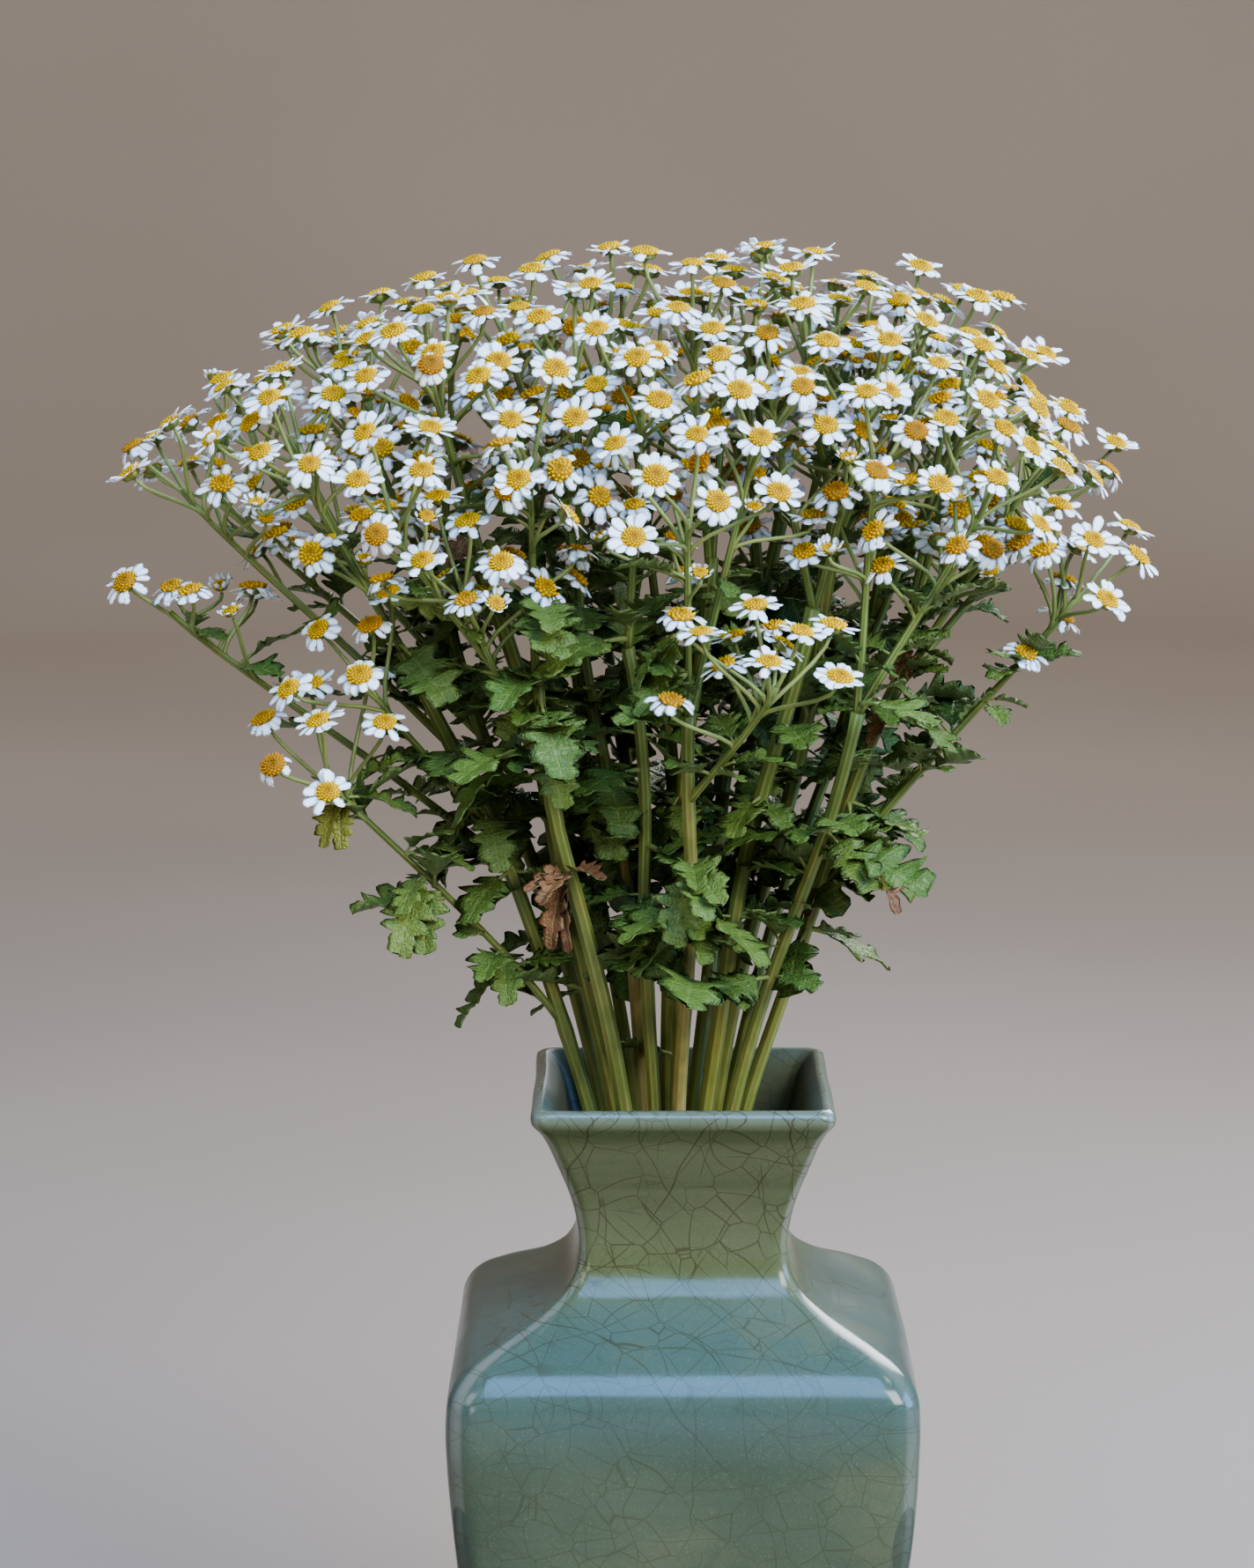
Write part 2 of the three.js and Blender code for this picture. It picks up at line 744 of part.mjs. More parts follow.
function findRoom(base, way, rods, heads, placed) {
  for (const shrink of leafShrinks) {
    const length = base.length * shrink;
    if (length < leafLeast) return null;
    for (const turn of leafTurns) {
      const direction = way.clone().applyAxisAngle(new THREE.Vector3(0, 0, 1), turn);
      const leaf = { ...base, length, direction };
      leaf.samples = leafSamples(leaf);
      const near = rods.filter((rod) => distanceToRod(base.root, rod.from, rod.to) < leafSearch);
      if (leafHasRoom(leaf, leaf.samples, near, heads, placed)) return leaf;
    }
  }
  return null;
}

// Point of a rising path at one height
function pathAtHeight(points, height) {
  for (let i = 0; i + 1 < points.length; i++) {
    const from = points[i];
    const to = points[i + 1];
    const share = Math.max((height - from.z) / (to.z - from.z), 0);
    if (share <= 1) return from.clone().lerp(to, share);
  }
  return points[points.length - 1].clone();
}

// Thin lobed leaf on its stalk, thickest along the rib, folded and drooping
function leafGeometry(leaf) {
  const at = (x, y, lift) => leafPoint(leaf, x, y, lift);
  const left = leafHalfOutline.map(([x, y]) => at(x, y, 0));
  const right = leafHalfOutline.map(([x, y]) => at(x, -y, 0));
  const top = leafRib.map((x) => at(x, 0, leafRibThickness));
  const under = leafRib.map((x) => at(x, 0, -leafRibThickness));
  const tip = left[left.length - 1];
  const triangles = [];
  const zip = (rib, edge, flip) => {
    const ribLine = [...rib, tip];
    const ribX = [...leafRib, 1];
    let i = 0;
    let j = 0;
    while (i + 1 < ribLine.length || j + 1 < edge.length) {
      const atTip = i + 1 === ribLine.length - 1 && j + 1 === edge.length - 1;
      const ribNext = i + 1 < ribLine.length ? ribX[i + 1] : Infinity;
      const edgeNext = j + 1 < edge.length ? leafHalfOutline[j + 1][0] : Infinity;
      const ahead = edgeNext <= ribNext ? edge[j + 1] : ribLine[i + 1];
      triangles.push(flip ? [ribLine[i], ahead, edge[j]] : [ribLine[i], edge[j], ahead]);
      if (atTip) break;
      if (edgeNext <= ribNext) j++;
      else i++;
    }
  };
  zip(top, left, true);
  zip(top, right, false);
  zip(under, left, false);
  zip(under, right, true);
  triangles.push([top[0], left[0], under[0]], [top[0], under[0], right[0]]);
  return new THREE.BufferGeometry().setFromPoints(triangles.flat());
}

function solid(geometry) {
  const bare = geometry.clone();
  bare.deleteAttribute("normal");
  bare.deleteAttribute("uv");
  const merged = mergeVertices(bare, 1e-4);
  return new wasm.Manifold(
    new wasm.Mesh({
      numProp: 3,
      vertProperties: new Float32Array(merged.attributes.position.array),
      triVerts: new Uint32Array(merged.index.array),
      tolerance: joinTolerance,
    }),
  );
}

// One body out of many: a hollow sealed by the joining is filled, and a loose scrap is dropped
function fused(geometries) {
  const whole = geometries.map(solid).reduce((sum, piece) => sum.add(piece));
  const body = whole.decompose().reduce((most, part) => (part.volume() > most.volume() ? part : most));
  const mesh = body.getMesh();
  const geometry = new THREE.BufferGeometry();
  geometry.setAttribute("position", new THREE.BufferAttribute(mesh.vertProperties, 3));
  geometry.setIndex(new THREE.BufferAttribute(mesh.triVerts, 1));
  geometry.computeVertexNormals();
  return geometry;
}

function greenMaterial(number) {
  const hue = greenHues[number % greenHues.length];
  const color = new THREE.Color().setHSL(hue, greenSaturation, greenLightness);
  return new THREE.MeshStandardMaterial({ color, roughness: 0.6, metalness: 0 });
}

const draw = seededDraws(layoutSeed);
const sprays = planSprays(draw);
const stems = stemSites.map((_, number) => stemRod(number, sprays));
for (const spray of sprays) spray.branch = branchPoints(spray, stems[spray.stem].points);
const heads = sprays.flatMap((spray) => planHeads(spray, draw));
const branches = sprays.map(({ stem, branch }) => ({ stem, points: branch, radius: branchRadius }));
settle(heads, branches);
const placedLeaves = placeLeaves(stems, sprays, heads);

const group = new THREE.Group();
const vase = new THREE.Mesh(vaseGeometry(), glazeMaterial);
vase.name = "vase";
group.add(vase);

stems.forEach(({ points, radii }, number) => {
  const pieces = [taperedRod(points, radii, stemSides)];
  for (const spray of sprays.filter((spray) => spray.stem === number)) {
    pieces.push(taperedRod(spray.branch, branchRadii, branchSides));
  }
  pieces.push(...heads.filter((head) => head.stem === number).map(headGeometry));
  pieces.push(...placedLeaves.filter((leaf) => leaf.stem === number).map(leafGeometry));
  const mesh = new THREE.Mesh(fused(pieces), greenMaterial(number));
  mesh.name = `flower_stem_${String(number + 1).padStart(2, "0")}`;
  group.add(mesh);
});

export default group;
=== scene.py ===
import math
from types import SimpleNamespace

import bpy
import numpy as np
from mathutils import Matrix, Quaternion, Vector


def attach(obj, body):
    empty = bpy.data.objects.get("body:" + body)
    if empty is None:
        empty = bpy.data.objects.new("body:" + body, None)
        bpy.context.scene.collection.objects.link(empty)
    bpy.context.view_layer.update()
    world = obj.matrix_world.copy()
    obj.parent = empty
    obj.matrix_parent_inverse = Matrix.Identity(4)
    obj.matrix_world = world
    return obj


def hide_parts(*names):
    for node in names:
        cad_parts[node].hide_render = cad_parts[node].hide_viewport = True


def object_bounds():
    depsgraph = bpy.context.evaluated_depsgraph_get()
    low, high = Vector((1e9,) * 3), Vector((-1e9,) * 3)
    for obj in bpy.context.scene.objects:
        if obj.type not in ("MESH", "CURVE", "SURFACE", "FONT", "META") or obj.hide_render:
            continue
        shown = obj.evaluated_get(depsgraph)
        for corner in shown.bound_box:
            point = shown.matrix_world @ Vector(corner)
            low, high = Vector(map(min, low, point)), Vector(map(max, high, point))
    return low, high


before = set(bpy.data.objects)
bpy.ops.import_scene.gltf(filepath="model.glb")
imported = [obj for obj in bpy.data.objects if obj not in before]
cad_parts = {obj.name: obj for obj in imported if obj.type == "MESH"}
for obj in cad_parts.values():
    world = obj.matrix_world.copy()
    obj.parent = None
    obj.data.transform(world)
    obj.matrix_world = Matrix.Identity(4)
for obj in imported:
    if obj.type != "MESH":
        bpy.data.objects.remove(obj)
cad_box = [list(corner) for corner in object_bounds()]

# Camera: the photograph's frame, its focal length in pixels, and where the camera stands
PHOTO_HEIGHT = 1780
FOCAL_PIXELS = 5000
SENSOR = 36
CAMERA_PLACE = (-0.01804, -1.4129, 0.5888)
CAMERA_DIP = math.radians(9.28)

MM = 0.001
GOLDEN_ANGLE = math.pi * (3 - math.sqrt(5))

# Vase: [height, half width across the flats, corner radius], up the outside and down the inside
RIM_HEIGHT = 260
FLOOR_HEIGHT = 8
VASE_OUTSIDE = [
    (0, 53, 9), (4, 54.6, 9.5), (62, 65.8, 10), (112, 72.2, 10), (148, 75.1, 10), (165, 75.2, 10),
    (171, 74.6, 9.5), (176, 72.3, 9.5), (180, 68.6, 9), (184, 61.8, 8), (193, 44.2, 6.5),
    (197.5, 38.6, 5.5), (203, 35.3, 5), (211, 34, 5), (222, 35, 5), (239, 40.4, 5), (252, 46.2, 5),
    (255, 48.5, 5), (258.7, 48.4, 5),
]
VASE_INSIDE = [
    (260, 45.6, 4.5), (258.2, 43.5, 4), (239, 36.2, 4), (210, 29.4, 4), (201, 30.6, 4), (192, 38.6, 4.5),
    (184, 52.5, 5), (176, 61, 5.5), (160, 69, 6), (60, 59.5, 6), (8, 48, 6),
]

# Bundle: stems pass the waist of the vase side by side and fan out above it and below it
BUNDLE_X = -4.6
WAIST_DROP = -50
WAIST_SPREAD = 49
FAN_ABOVE = 1
FAN_BELOW = 0.25
STEM_FOOT_GAP = 0.3
STEM_SWAY = 0.02
SWAY_STARTS = 90
SWAY_PHASE = 2.4
SWAY_WAVES = (34, 41)
STEM_SITES = [
    (-0.4, -0.13), (-0.22, -0.27), (-0.07, -0.2), (0.05, -0.29), (0.19, -0.18), (0.32, -0.24),
    (0.4, -0.06), (-0.27, -0.08), (-0.12, -0.04), (0.04, -0.07), (0.24, 0.0), (-0.34, 0.09),
    (-0.18, 0.14), (0.0, 0.1), (0.14, 0.14), (0.32, 0.15), (-0.08, 0.27), (0.18, 0.29),
]
STEM_RADIUS_FOOT = 2.7
STEM_BENDS = (0.3, 0.65)
STEM_TOP_LEAST = 60
STEM_TOP_ABOVE_FORK = 4
BRANCH_SHARES = (0, 0.42, 1)
BRANCH_RADIUS = 1.6
BRANCH_EASE = 1.35

# Canopy: a dome of flower heads, longer to the left than to the right
CREST_HEIGHT = 268
CREST_FALL = 77
REACH_LEFT = 194
REACH_RIGHT = 145
REACH_FRONT = 98
REACH_BACK = 84
ACROSS_POWER = 2.8
DEPTH_POWER = 2.2
SPRAYS_IN_DOME = 44
DOME_FILL = 0.94
DOME_ROUGHNESS = 9
DOME_SINK = 8.4

# Spray: how many heads, where it forks off its stem, and how its heads sit
HEADS_IN_FRONT = 6
HEADS_BEHIND = 4
FRONT_ENDS_AT = 12
FEWER_HEADS_SHARE = 0.55
FORK_DROP = 75
FORK_DROP_SPREAD = 45
STEM_CHOSEN_BELOW = 30
CROWN_BACK = 14
CROWN_DROP = 8
HEAD_SPACING = 11.5
MIDDLE_HEAD_OUT = 0.15
RING_HEADS_OUT = 0.4
SPRAY_DOME = 90
SPRAY_ROUGHNESS = 5
HEAD_SPLAY = 0.012
HEAD_LEAN = 0.42
STALK_ROOT_LEAST = 1.5
STALK_ROOT_SPREAD = 0.5
LAYOUT_SEED = 8

# Sprays off the dome: x, y, height above the rim, heads, stem, height of the fork, facing x, y, z
SPRAY_EXTRAS = [
    (-117, -56, 127, 7, 0, 20, -0.3, -0.55, 0.8),
    (-104, -52, 154, 5, 0, 84, -0.35, -0.6, 0.7),
    (29, -88, 162, 6, 3, 100, 0.1, -0.4, 0.9),
    (131, -34, 182, 5, 6, 62, 0.4, -0.5, 0.75),
    (126, 56, 216, 6, 15, 116, 0.3, -0.2, 0.9),
    (84, 14, 254, 5, 10, 168, 0.25, -0.35, 0.9),
    (-172, -30, 172, 1, 0, 74, -0.6, -0.6, 0.5),
    (-72, -70, 186, 4, 1, 100, -0.2, -0.7, 0.7),
]

# Flower head
PETAL_REACH = 9.4
CALYX_DEPTH = 2.8
PEDICEL_RADIUS = 0.75

# Room that heads and their stalks keep from each other, and the share of a clash mended in one round
HEAD_ROOM = 19.6
STACKED_ROOM = 11.6
LEVEL_SAME = 4.6
LEVEL_STACKED = 7.2
LEVEL_CLEAR = 15
STALK_ROOM = 10.7
STALK_SLAB = 3
STALK_GAP = 0.6
SETTLING_ROUNDS = 70
COMPARED_HEADS = 70
COMPARED_ROOTS = 90
COMPARED_BRANCHES = 120
HEAD_PUSH = 0.3
STALK_PUSH = 0.25
CROSSING_PUSH = 0.6
BRANCH_PUSH = 0.8
PETAL_PUSH = 0.4
HOME_PULL = 0.02


def seeded_draws(seed):
    """Draws between 0 and 1, the same as those that set the part's layout."""
    mask = 0xFFFFFFFF
    state = seed

    def draw():
        nonlocal state
        state = (state + 0x6D2B79F5) & mask
        mixed = ((state ^ (state >> 15)) * (1 | state)) & mask
        mixed = ((mixed + (mixed ^ (mixed >> 7)) * (61 | mixed)) & mask) ^ mixed
        return (mixed ^ (mixed >> 14)) / 4294967296

    return draw


def spread_at(height):
    """Width of the bundle at a height above the rim."""
    rise = height - WAIST_DROP
    return math.hypot(WAIST_SPREAD, rise * (FAN_ABOVE if rise > 0 else FAN_BELOW))


def in_bundle(a, b, height):
    """Point of the bundle: a and b say how far out across and in depth."""
    spread = spread_at(height)
    return Vector((BUNDLE_X + a * spread, b * spread, RIM_HEIGHT + height))


def bundle_place(x, y, height):
    """How far out in the bundle a point is, across and in depth."""
    spread = spread_at(height)
    return (x - BUNDLE_X) / spread, y / spread


def dome_shape(x, y):
    """Height of the dome above the rim, and the direction that it faces."""
    reach_x = REACH_LEFT if x < 0 else REACH_RIGHT
    reach_y = REACH_FRONT if y < 0 else REACH_BACK
    across = abs(x) / reach_x
    depth = abs(y) / reach_y
    slope_x = math.copysign(ACROSS_POWER * across ** (ACROSS_POWER - 1), x) / reach_x
    slope_y = math.copysign(DEPTH_POWER * depth ** (DEPTH_POWER - 1), y) / reach_y
    height = CREST_HEIGHT - CREST_FALL * (across**ACROSS_POWER + depth**DEPTH_POWER)
    return height, Vector((CREST_FALL * slope_x, CREST_FALL * slope_y, 1)).normalized()


def stem_place(number, height):
    """A stem's place in the bundle at any height."""
    a, b = STEM_SITES[number]
    phase = number * SWAY_PHASE
    sway = STEM_SWAY * min(max(height, 0) / SWAY_STARTS, 1)
    return (
        a + sway * math.sin(height / SWAY_WAVES[0] + phase),
        b + sway * math.cos(height / SWAY_WAVES[1] + phase),
    )


def stem_point(number, height):
    return in_bundle(*stem_place(number, height), height)


def nearest_stem(a, b):
    return min(range(len(STEM_SITES)), key=lambda n: math.hypot(a - STEM_SITES[n][0], b - STEM_SITES[n][1]))


def plan_sprays(draw):
    """Every spray: the middle of its heads, what it faces, its stem and its fork."""
    sprays = []
    for i in range(SPRAYS_IN_DOME):
        out = DOME_FILL * math.sqrt((i + 0.5) / SPRAYS_IN_DOME)
        turn = i * GOLDEN_ANGLE
        along_x = out * math.cos(turn)
        along_y = out * math.sin(turn)
        x = along_x * (REACH_LEFT if along_x < 0 else REACH_RIGHT)
        y = along_y * (REACH_FRONT if along_y < 0 else REACH_BACK)
        height, facing = dome_shape(x, y)
        level = height - DOME_SINK + DOME_ROUGHNESS * draw()
        a, b = bundle_place(x, y, level - STEM_CHOSEN_BELOW)
        heads = HEADS_IN_FRONT if y < FRONT_ENDS_AT else HEADS_BEHIND
        heads -= 1 if draw() < FEWER_HEADS_SHARE else 0
        fork = level - FORK_DROP - FORK_DROP_SPREAD * draw()
        middle = Vector((x, y, RIM_HEIGHT + level))
        sprays.append(
            SimpleNamespace(middle=middle, facing=facing, heads=heads, stem=nearest_stem(a, b), fork=fork)
        )
    for x, y, height, heads, stem, fork, *facing in SPRAY_EXTRAS:
        middle = Vector((x, y, RIM_HEIGHT + height))
        sprays.append(
            SimpleNamespace(
                middle=middle, facing=Vector(facing).normalized(), heads=heads, stem=stem, fork=fork
            )
        )
    return sprays


def stem_path(number, sprays):
    """Straight stretches of a main stem, from the vase's floor to just above its highest fork."""
    forks = [spray.fork for spray in sprays if spray.stem == number]
    top = max([*forks, STEM_TOP_LEAST]) + STEM_TOP_ABOVE_FORK
    foot = FLOOR_HEIGHT + STEM_FOOT_GAP - RIM_HEIGHT
    heights = [foot, WAIST_DROP, *(share * top for share in STEM_BENDS), top]
    return [stem_point(number, height) for height in heights]


def path_at_height(points, height):
    """Point of a rising path at one height."""
    for start, end in zip(points, points[1:]):
        share = max((height - start.z) / (end.z - start.z), 0)
        if share <= 1:
            return start.lerp(end, share)
    return points[-1].copy()


def branch_path(spray, root, shares):
    """Branch of a spray: out from its stem first, then up below its heads."""
    crown = spray.middle - CROWN_BACK * spray.facing - Vector((0, 0, CROWN_DROP))
    top = crown.z - RIM_HEIGHT
    crown_a, crown_b = bundle_place(crown.x, crown.y, top)
    root_a, root_b = bundle_place(root.x, root.y, spray.fork)
    points = []
    for share in shares:
        eased = 1 - (1 - share) ** BRANCH_EASE
        height = spray.fork + (top - spray.fork) * share
        points.append(
            in_bundle(root_a + (crown_a - root_a) * eased, root_b + (crown_b - root_b) * eased, height)
        )
    return points


def back_from_tip(points, distance):
    """Point at a distance back from the tip of a branch."""
    for i in range(len(points) - 1, 0, -1):
        length = (points[i] - points[i - 1]).length
        if distance <= length:
            return points[i].lerp(points[i - 1], distance / length)
        distance -= length
    return points[0].copy()


def plan_heads(spray, draw):
    """Flower heads of one spray, before they settle."""
    sideways = Vector((0, 0, 1)).cross(spray.facing).normalized()
    upward = spray.facing.cross(sideways)
    start = 2 * math.pi * draw()
    first_out = MIDDLE_HEAD_OUT if spray.heads > HEADS_BEHIND else RING_HEADS_OUT
    heads = []
    for k in range(spray.heads):
        out = HEAD_SPACING * math.sqrt(k + first_out)
        turn = start + k * GOLDEN_ANGLE
        outward = sideways * math.cos(turn) + upward * math.sin(turn)
        lift = -(out * out) / SPRAY_DOME + SPRAY_ROUGHNESS * (draw() - 0.5)
        place = spray.middle + out * outward + lift * spray.facing
        lean = Vector((draw() - 0.5, draw() - 0.5, draw() - 0.5))
        facing = (spray.facing + HEAD_SPLAY * out * outward + HEAD_LEAN * lean).normalized()
        back = STALK_ROOT_LEAST + STALK_ROOT_SPREAD * out
        heads.append(
            SimpleNamespace(
                spray=spray,
                stem=spray.stem,
                place=place,
                home=place.copy(),
                facing=facing,
                root=back_from_tip(spray.branch, back),
                back=back,
                turn=2 * math.pi * draw(),
            )
        )
    return heads


def head_neck(head):
    return head.place - CALYX_DEPTH * head.facing


def part_heads(one, two):
    """Two heads draw apart, sideways on one level or by lifting one over the other."""
    between = two.place - one.place
    if between.length > HEAD_ROOM + 1:
        return
    facing = (one.facing + two.facing).normalized()
    rise = between.dot(facing)
    flat = between - rise * facing
    away = max(flat.length, 1e-6)
    level = abs(rise)
    if level > LEVEL_CLEAR:
        return
    blend = min(max((level - LEVEL_SAME) / (LEVEL_STACKED - LEVEL_SAME), 0), 1)
    short = HEAD_ROOM + (STACKED_ROOM - HEAD_ROOM) * blend - away
    if short <= 0:
        return
    lift = LEVEL_STACKED - level
    if away > STACKED_ROOM and 0 < lift < short:
        step = HEAD_PUSH * lift * (-1 if rise < 0 else 1) / 2
        one.place -= step * facing
        two.place += step * facing
        return
    push = HEAD_PUSH * short / away
    one.place -= push * flat
    two.place += push * flat


def slab_crossing(low, high):
    """Share along a rod where it crosses or comes nearest to a head's plane, or None if it stays off."""
    if min(abs(low), abs(high)) > STALK_SLAB and low * high > 0:
        return None
    if low * high < 0:
        return low / (low - high)
    return 0 if abs(low) < abs(high) else 1


def clear_stalk(head, other):
    """A head draws clear of a stalk, which gives way with its own head."""
    neck = head_neck(other)
    low = (other.root - head.place).dot(head.facing)
    high = (neck - head.place).dot(head.facing)
    share = slab_crossing(low, high)
    if share is None:
        return
    flat = other.root.lerp(neck, share) - head.place
    flat -= flat.dot(head.facing) * head.facing
    away = max(flat.length, 1e-6)
    short = STALK_ROOM - away
    if short <= 0:
        return
    push = STALK_PUSH * short / away
    head.place -= push * flat
    other.place += push * share * flat


def closest_shares(a0, a1, b0, b1):
    """Shares along two straight rods where they come closest."""
    u = a1 - a0
    v = b1 - b0
    w = a0 - b0
    uu, uv, vv, uw, vw = u.dot(u), u.dot(v), v.dot(v), u.dot(w), v.dot(w)
    s = min(max((uv * vw - vv * uw) / max(uu * vv - uv * uv, 1e-9), 0), 1)
    t = min(max((uv * s + vw) / vv, 0), 1)
    return min(max((uv * t - uw) / uu, 0), 1), t


def part_stalks(one, two):
    """Two stalks of different stems draw apart."""
    if (one.root - two.root).length > COMPARED_ROOTS:
        return
    neck_one = head_neck(one)
    neck_two = head_neck(two)
    s, t = closest_shares(one.root, neck_one, two.root, neck_two)
    between = two.root.lerp(neck_two, t) - one.root.lerp(neck_one, s)
    away = max(between.length, 1e-6)
    short = 2 * PEDICEL_RADIUS + STALK_GAP - away
    if short <= 0:
        return
    push = CROSSING_PUSH * short / away
    one.place -= push * s * between
    two.place += push * t * between


def clear_branch(head, branch):
    """A stalk and a head draw clear of a branch of another stem."""
    for start, end in zip(branch, branch[1:]):
        neck = head_neck(head)
        s, t = closest_shares(head.root, neck, start, end)
        between = head.root.lerp(neck, s) - start.lerp(end, t)
        away = max(between.length, 1e-6)
        short = PEDICEL_RADIUS + BRANCH_RADIUS + STALK_GAP - away
        if short > 0:
            head.place += BRANCH_PUSH * short * s / away * between
        share = slab_crossing((start - head.place).dot(head.facing), (end - head.place).dot(head.facing))
        if share is None:
            continue
        flat = start.lerp(end, share) - head.place
        flat -= flat.dot(head.facing) * head.facing
        gap = max(flat.length, 1e-6)
        needed = PETAL_REACH + BRANCH_RADIUS + STALK_GAP - gap
        if needed > 0:
            head.place -= PETAL_PUSH * needed / gap * flat


def settle(heads, sprays):
    """Heads, stalks and branches that clash draw apart, a little in each round."""
    for settling_round in range(SETTLING_ROUNDS):
        for i, one in enumerate(heads):
            for two in heads[i + 1 :]:
                if (one.place - two.place).length > COMPARED_HEADS:
                    continue
                part_heads(one, two)
                clear_stalk(one, two)
                clear_stalk(two, one)
                if one.stem != two.stem:
                    part_stalks(one, two)
        for head in heads:
            for spray in sprays:
                if spray.stem != head.stem and (spray.branch[-1] - head.place).length < COMPARED_BRANCHES:
                    clear_branch(head, spray.branch)
            if settling_round < SETTLING_ROUNDS / 2:
                head.place = head.place.lerp(head.home, HOME_PULL)


def plan_bouquet():
    """Stems, sprays and settled heads, placed as in the part."""
    draw = seeded_draws(LAYOUT_SEED)
    sprays = plan_sprays(draw)
    stems = [stem_path(number, sprays) for number in range(len(STEM_SITES))]
    for spray in sprays:
        root = path_at_height(stems[spray.stem], RIM_HEIGHT + spray.fork)
        spray.branch = branch_path(spray, root, BRANCH_SHARES)
    heads = [head for spray in sprays for head in plan_heads(spray, draw)]
    settle(heads, sprays)
    return stems, sprays, heads


# Finer growth on the planned lines
STEM_STEP = 8
STEM_SIDES = 21
STEM_RIBS = 7
STEM_RIB_DEPTH = 0.085
STEM_FINE_RADII = (2.7, 2.0)
STEM_UNEVEN = 0.12
STEM_UNEVEN_TURN = 2
STRAW_STEMS = (3, 8)
GREEN_STEM_TONES = 0.7
JOINT_SWELL = 0.16
JOINT_LENGTH = 3.2
BRANCH_STEPS = 14
BRANCH_SIDES = 12
BRANCH_RIBS = 6
BRANCH_RIB_DEPTH = 0.05
BRANCH_FINE_RADII = (1.35, 0.95)
STALK_STEPS = 7
STALK_SIDES = 6
STALK_FINE_RADII = (0.75, 0.62)
STALK_HANDLE = 0.24
UPRIGHT_LEAN = 0.8


def unit(vectors):
    return vectors / np.maximum(np.linalg.norm(vectors, axis=-1, keepdims=True), 1e-9)


class Gathered:
    """Points, faces and looks of one piece, gathered before its mesh is made."""

    def __init__(self):
        self.points = []
        self.looks = []
        self.faces = []
        self.count = 0

    def add(self, points, faces, looks):
        """Copies of one shape: points and looks as (copies, points, 3 or 4), and the faces of one copy."""
        copies, size = points.shape[:2]
        starts = self.count + size * np.arange(copies)[:, None, None]
        for group in faces:
            group = np.asarray(group)
            self.faces.extend((starts + group).reshape(-1, group.shape[-1]).tolist())
        self.points.append(points.reshape(-1, 3))
        self.looks.append(np.broadcast_to(looks, (copies, size, 4)).reshape(-1, 4))
        self.count += copies * size

    def make(self, name, material, limits=(-np.inf, np.inf)):
        """An object of one material. No point of it passes the limits."""
        mesh = bpy.data.meshes.new(name)
        points = np.clip(np.concatenate(self.points) * MM, *limits)
        mesh.from_pydata(points.tolist(), [], self.faces)
        looks = mesh.attributes.new("look", "FLOAT_COLOR", "POINT")
        looks.data.foreach_set("color", np.concatenate(self.looks).astype(np.float32).ravel())
        mesh.materials.append(material)
        mesh.shade_smooth()
        piece = bpy.data.objects.new(name, mesh)
        bpy.context.scene.collection.objects.link(piece)
        return piece


def looks_of(along, across, tone, under=0.0):
    """Looks of each point: how far along and across it is, its copy's tone, and if it is an underside."""
    parts = np.broadcast_arrays(along, across, tone, under)
    return np.stack(parts, axis=-1).astype(float)


def rod_faces(rings, sides):
    """Faces of a closed rod: its side and two end caps."""
    grid = np.arange(rings * sides).reshape(rings, sides)
    turned = np.roll(grid, -1, axis=1)
    side = np.stack([grid[:-1], turned[:-1], turned[1:], grid[1:]], -1).reshape(-1, 4)
    return [side, grid[:1, ::-1], grid[-1:]]


def rod_rings(lines, radii, sides, ribs=0, rib_depth=0.0):
    """Rings round lines of points: lines as (rods, rings, 3) and radii as (rods, rings)."""
    along = unit(np.gradient(lines, axis=1))
    mean = unit(lines[:, -1] - lines[:, 0])
    leans = np.abs(mean[:, :1]) > UPRIGHT_LEAN
    guide = np.where(leans, [[0.0, 1.0, 0.0]], [[1.0, 0.0, 0.0]])[:, None]
    side = unit(guide - (guide * along).sum(-1, keepdims=True) * along)
    across = np.cross(along, side)
    angles = 2 * np.pi * np.arange(sides) / sides
    swell = 1 + rib_depth * np.cos(ribs * angles) if ribs else np.ones(sides)
    reach = radii[:, :, None, None] * swell[None, None, :, None]
    rings = (
        lines[:, :, None]
        + reach * np.cos(angles)[:, None] * side[:, :, None]
        + reach * np.sin(angles)[:, None] * across[:, :, None]
    )
    return rings.reshape(len(lines), -1, 3)


def add_rods(gathered, lines, radii, sides, tones, ribs=0, rib_depth=0.0, kind=0.0):
    """Rods of one kind. kind says in the looks what they are: 0 a stem, 0.5 a branch, 1 a thin stalk."""
    lines = np.asarray(lines, float)
    rods, rings = lines.shape[:2]
    radii = np.broadcast_to(radii, (rods, rings))
    along = np.repeat(np.linspace(0, 1, rings), sides)[None]
    ridge = 0.5 + 0.5 * np.cos(ribs * 2 * np.pi * np.arange(sides) / sides)
    across = np.tile(ridge, rings)[None]
    looks = looks_of(along, across, np.asarray(tones, float)[:, None], kind)
    gathered.add(rod_rings(lines, radii, sides, ribs, rib_depth), rod_faces(rings, sides), looks)


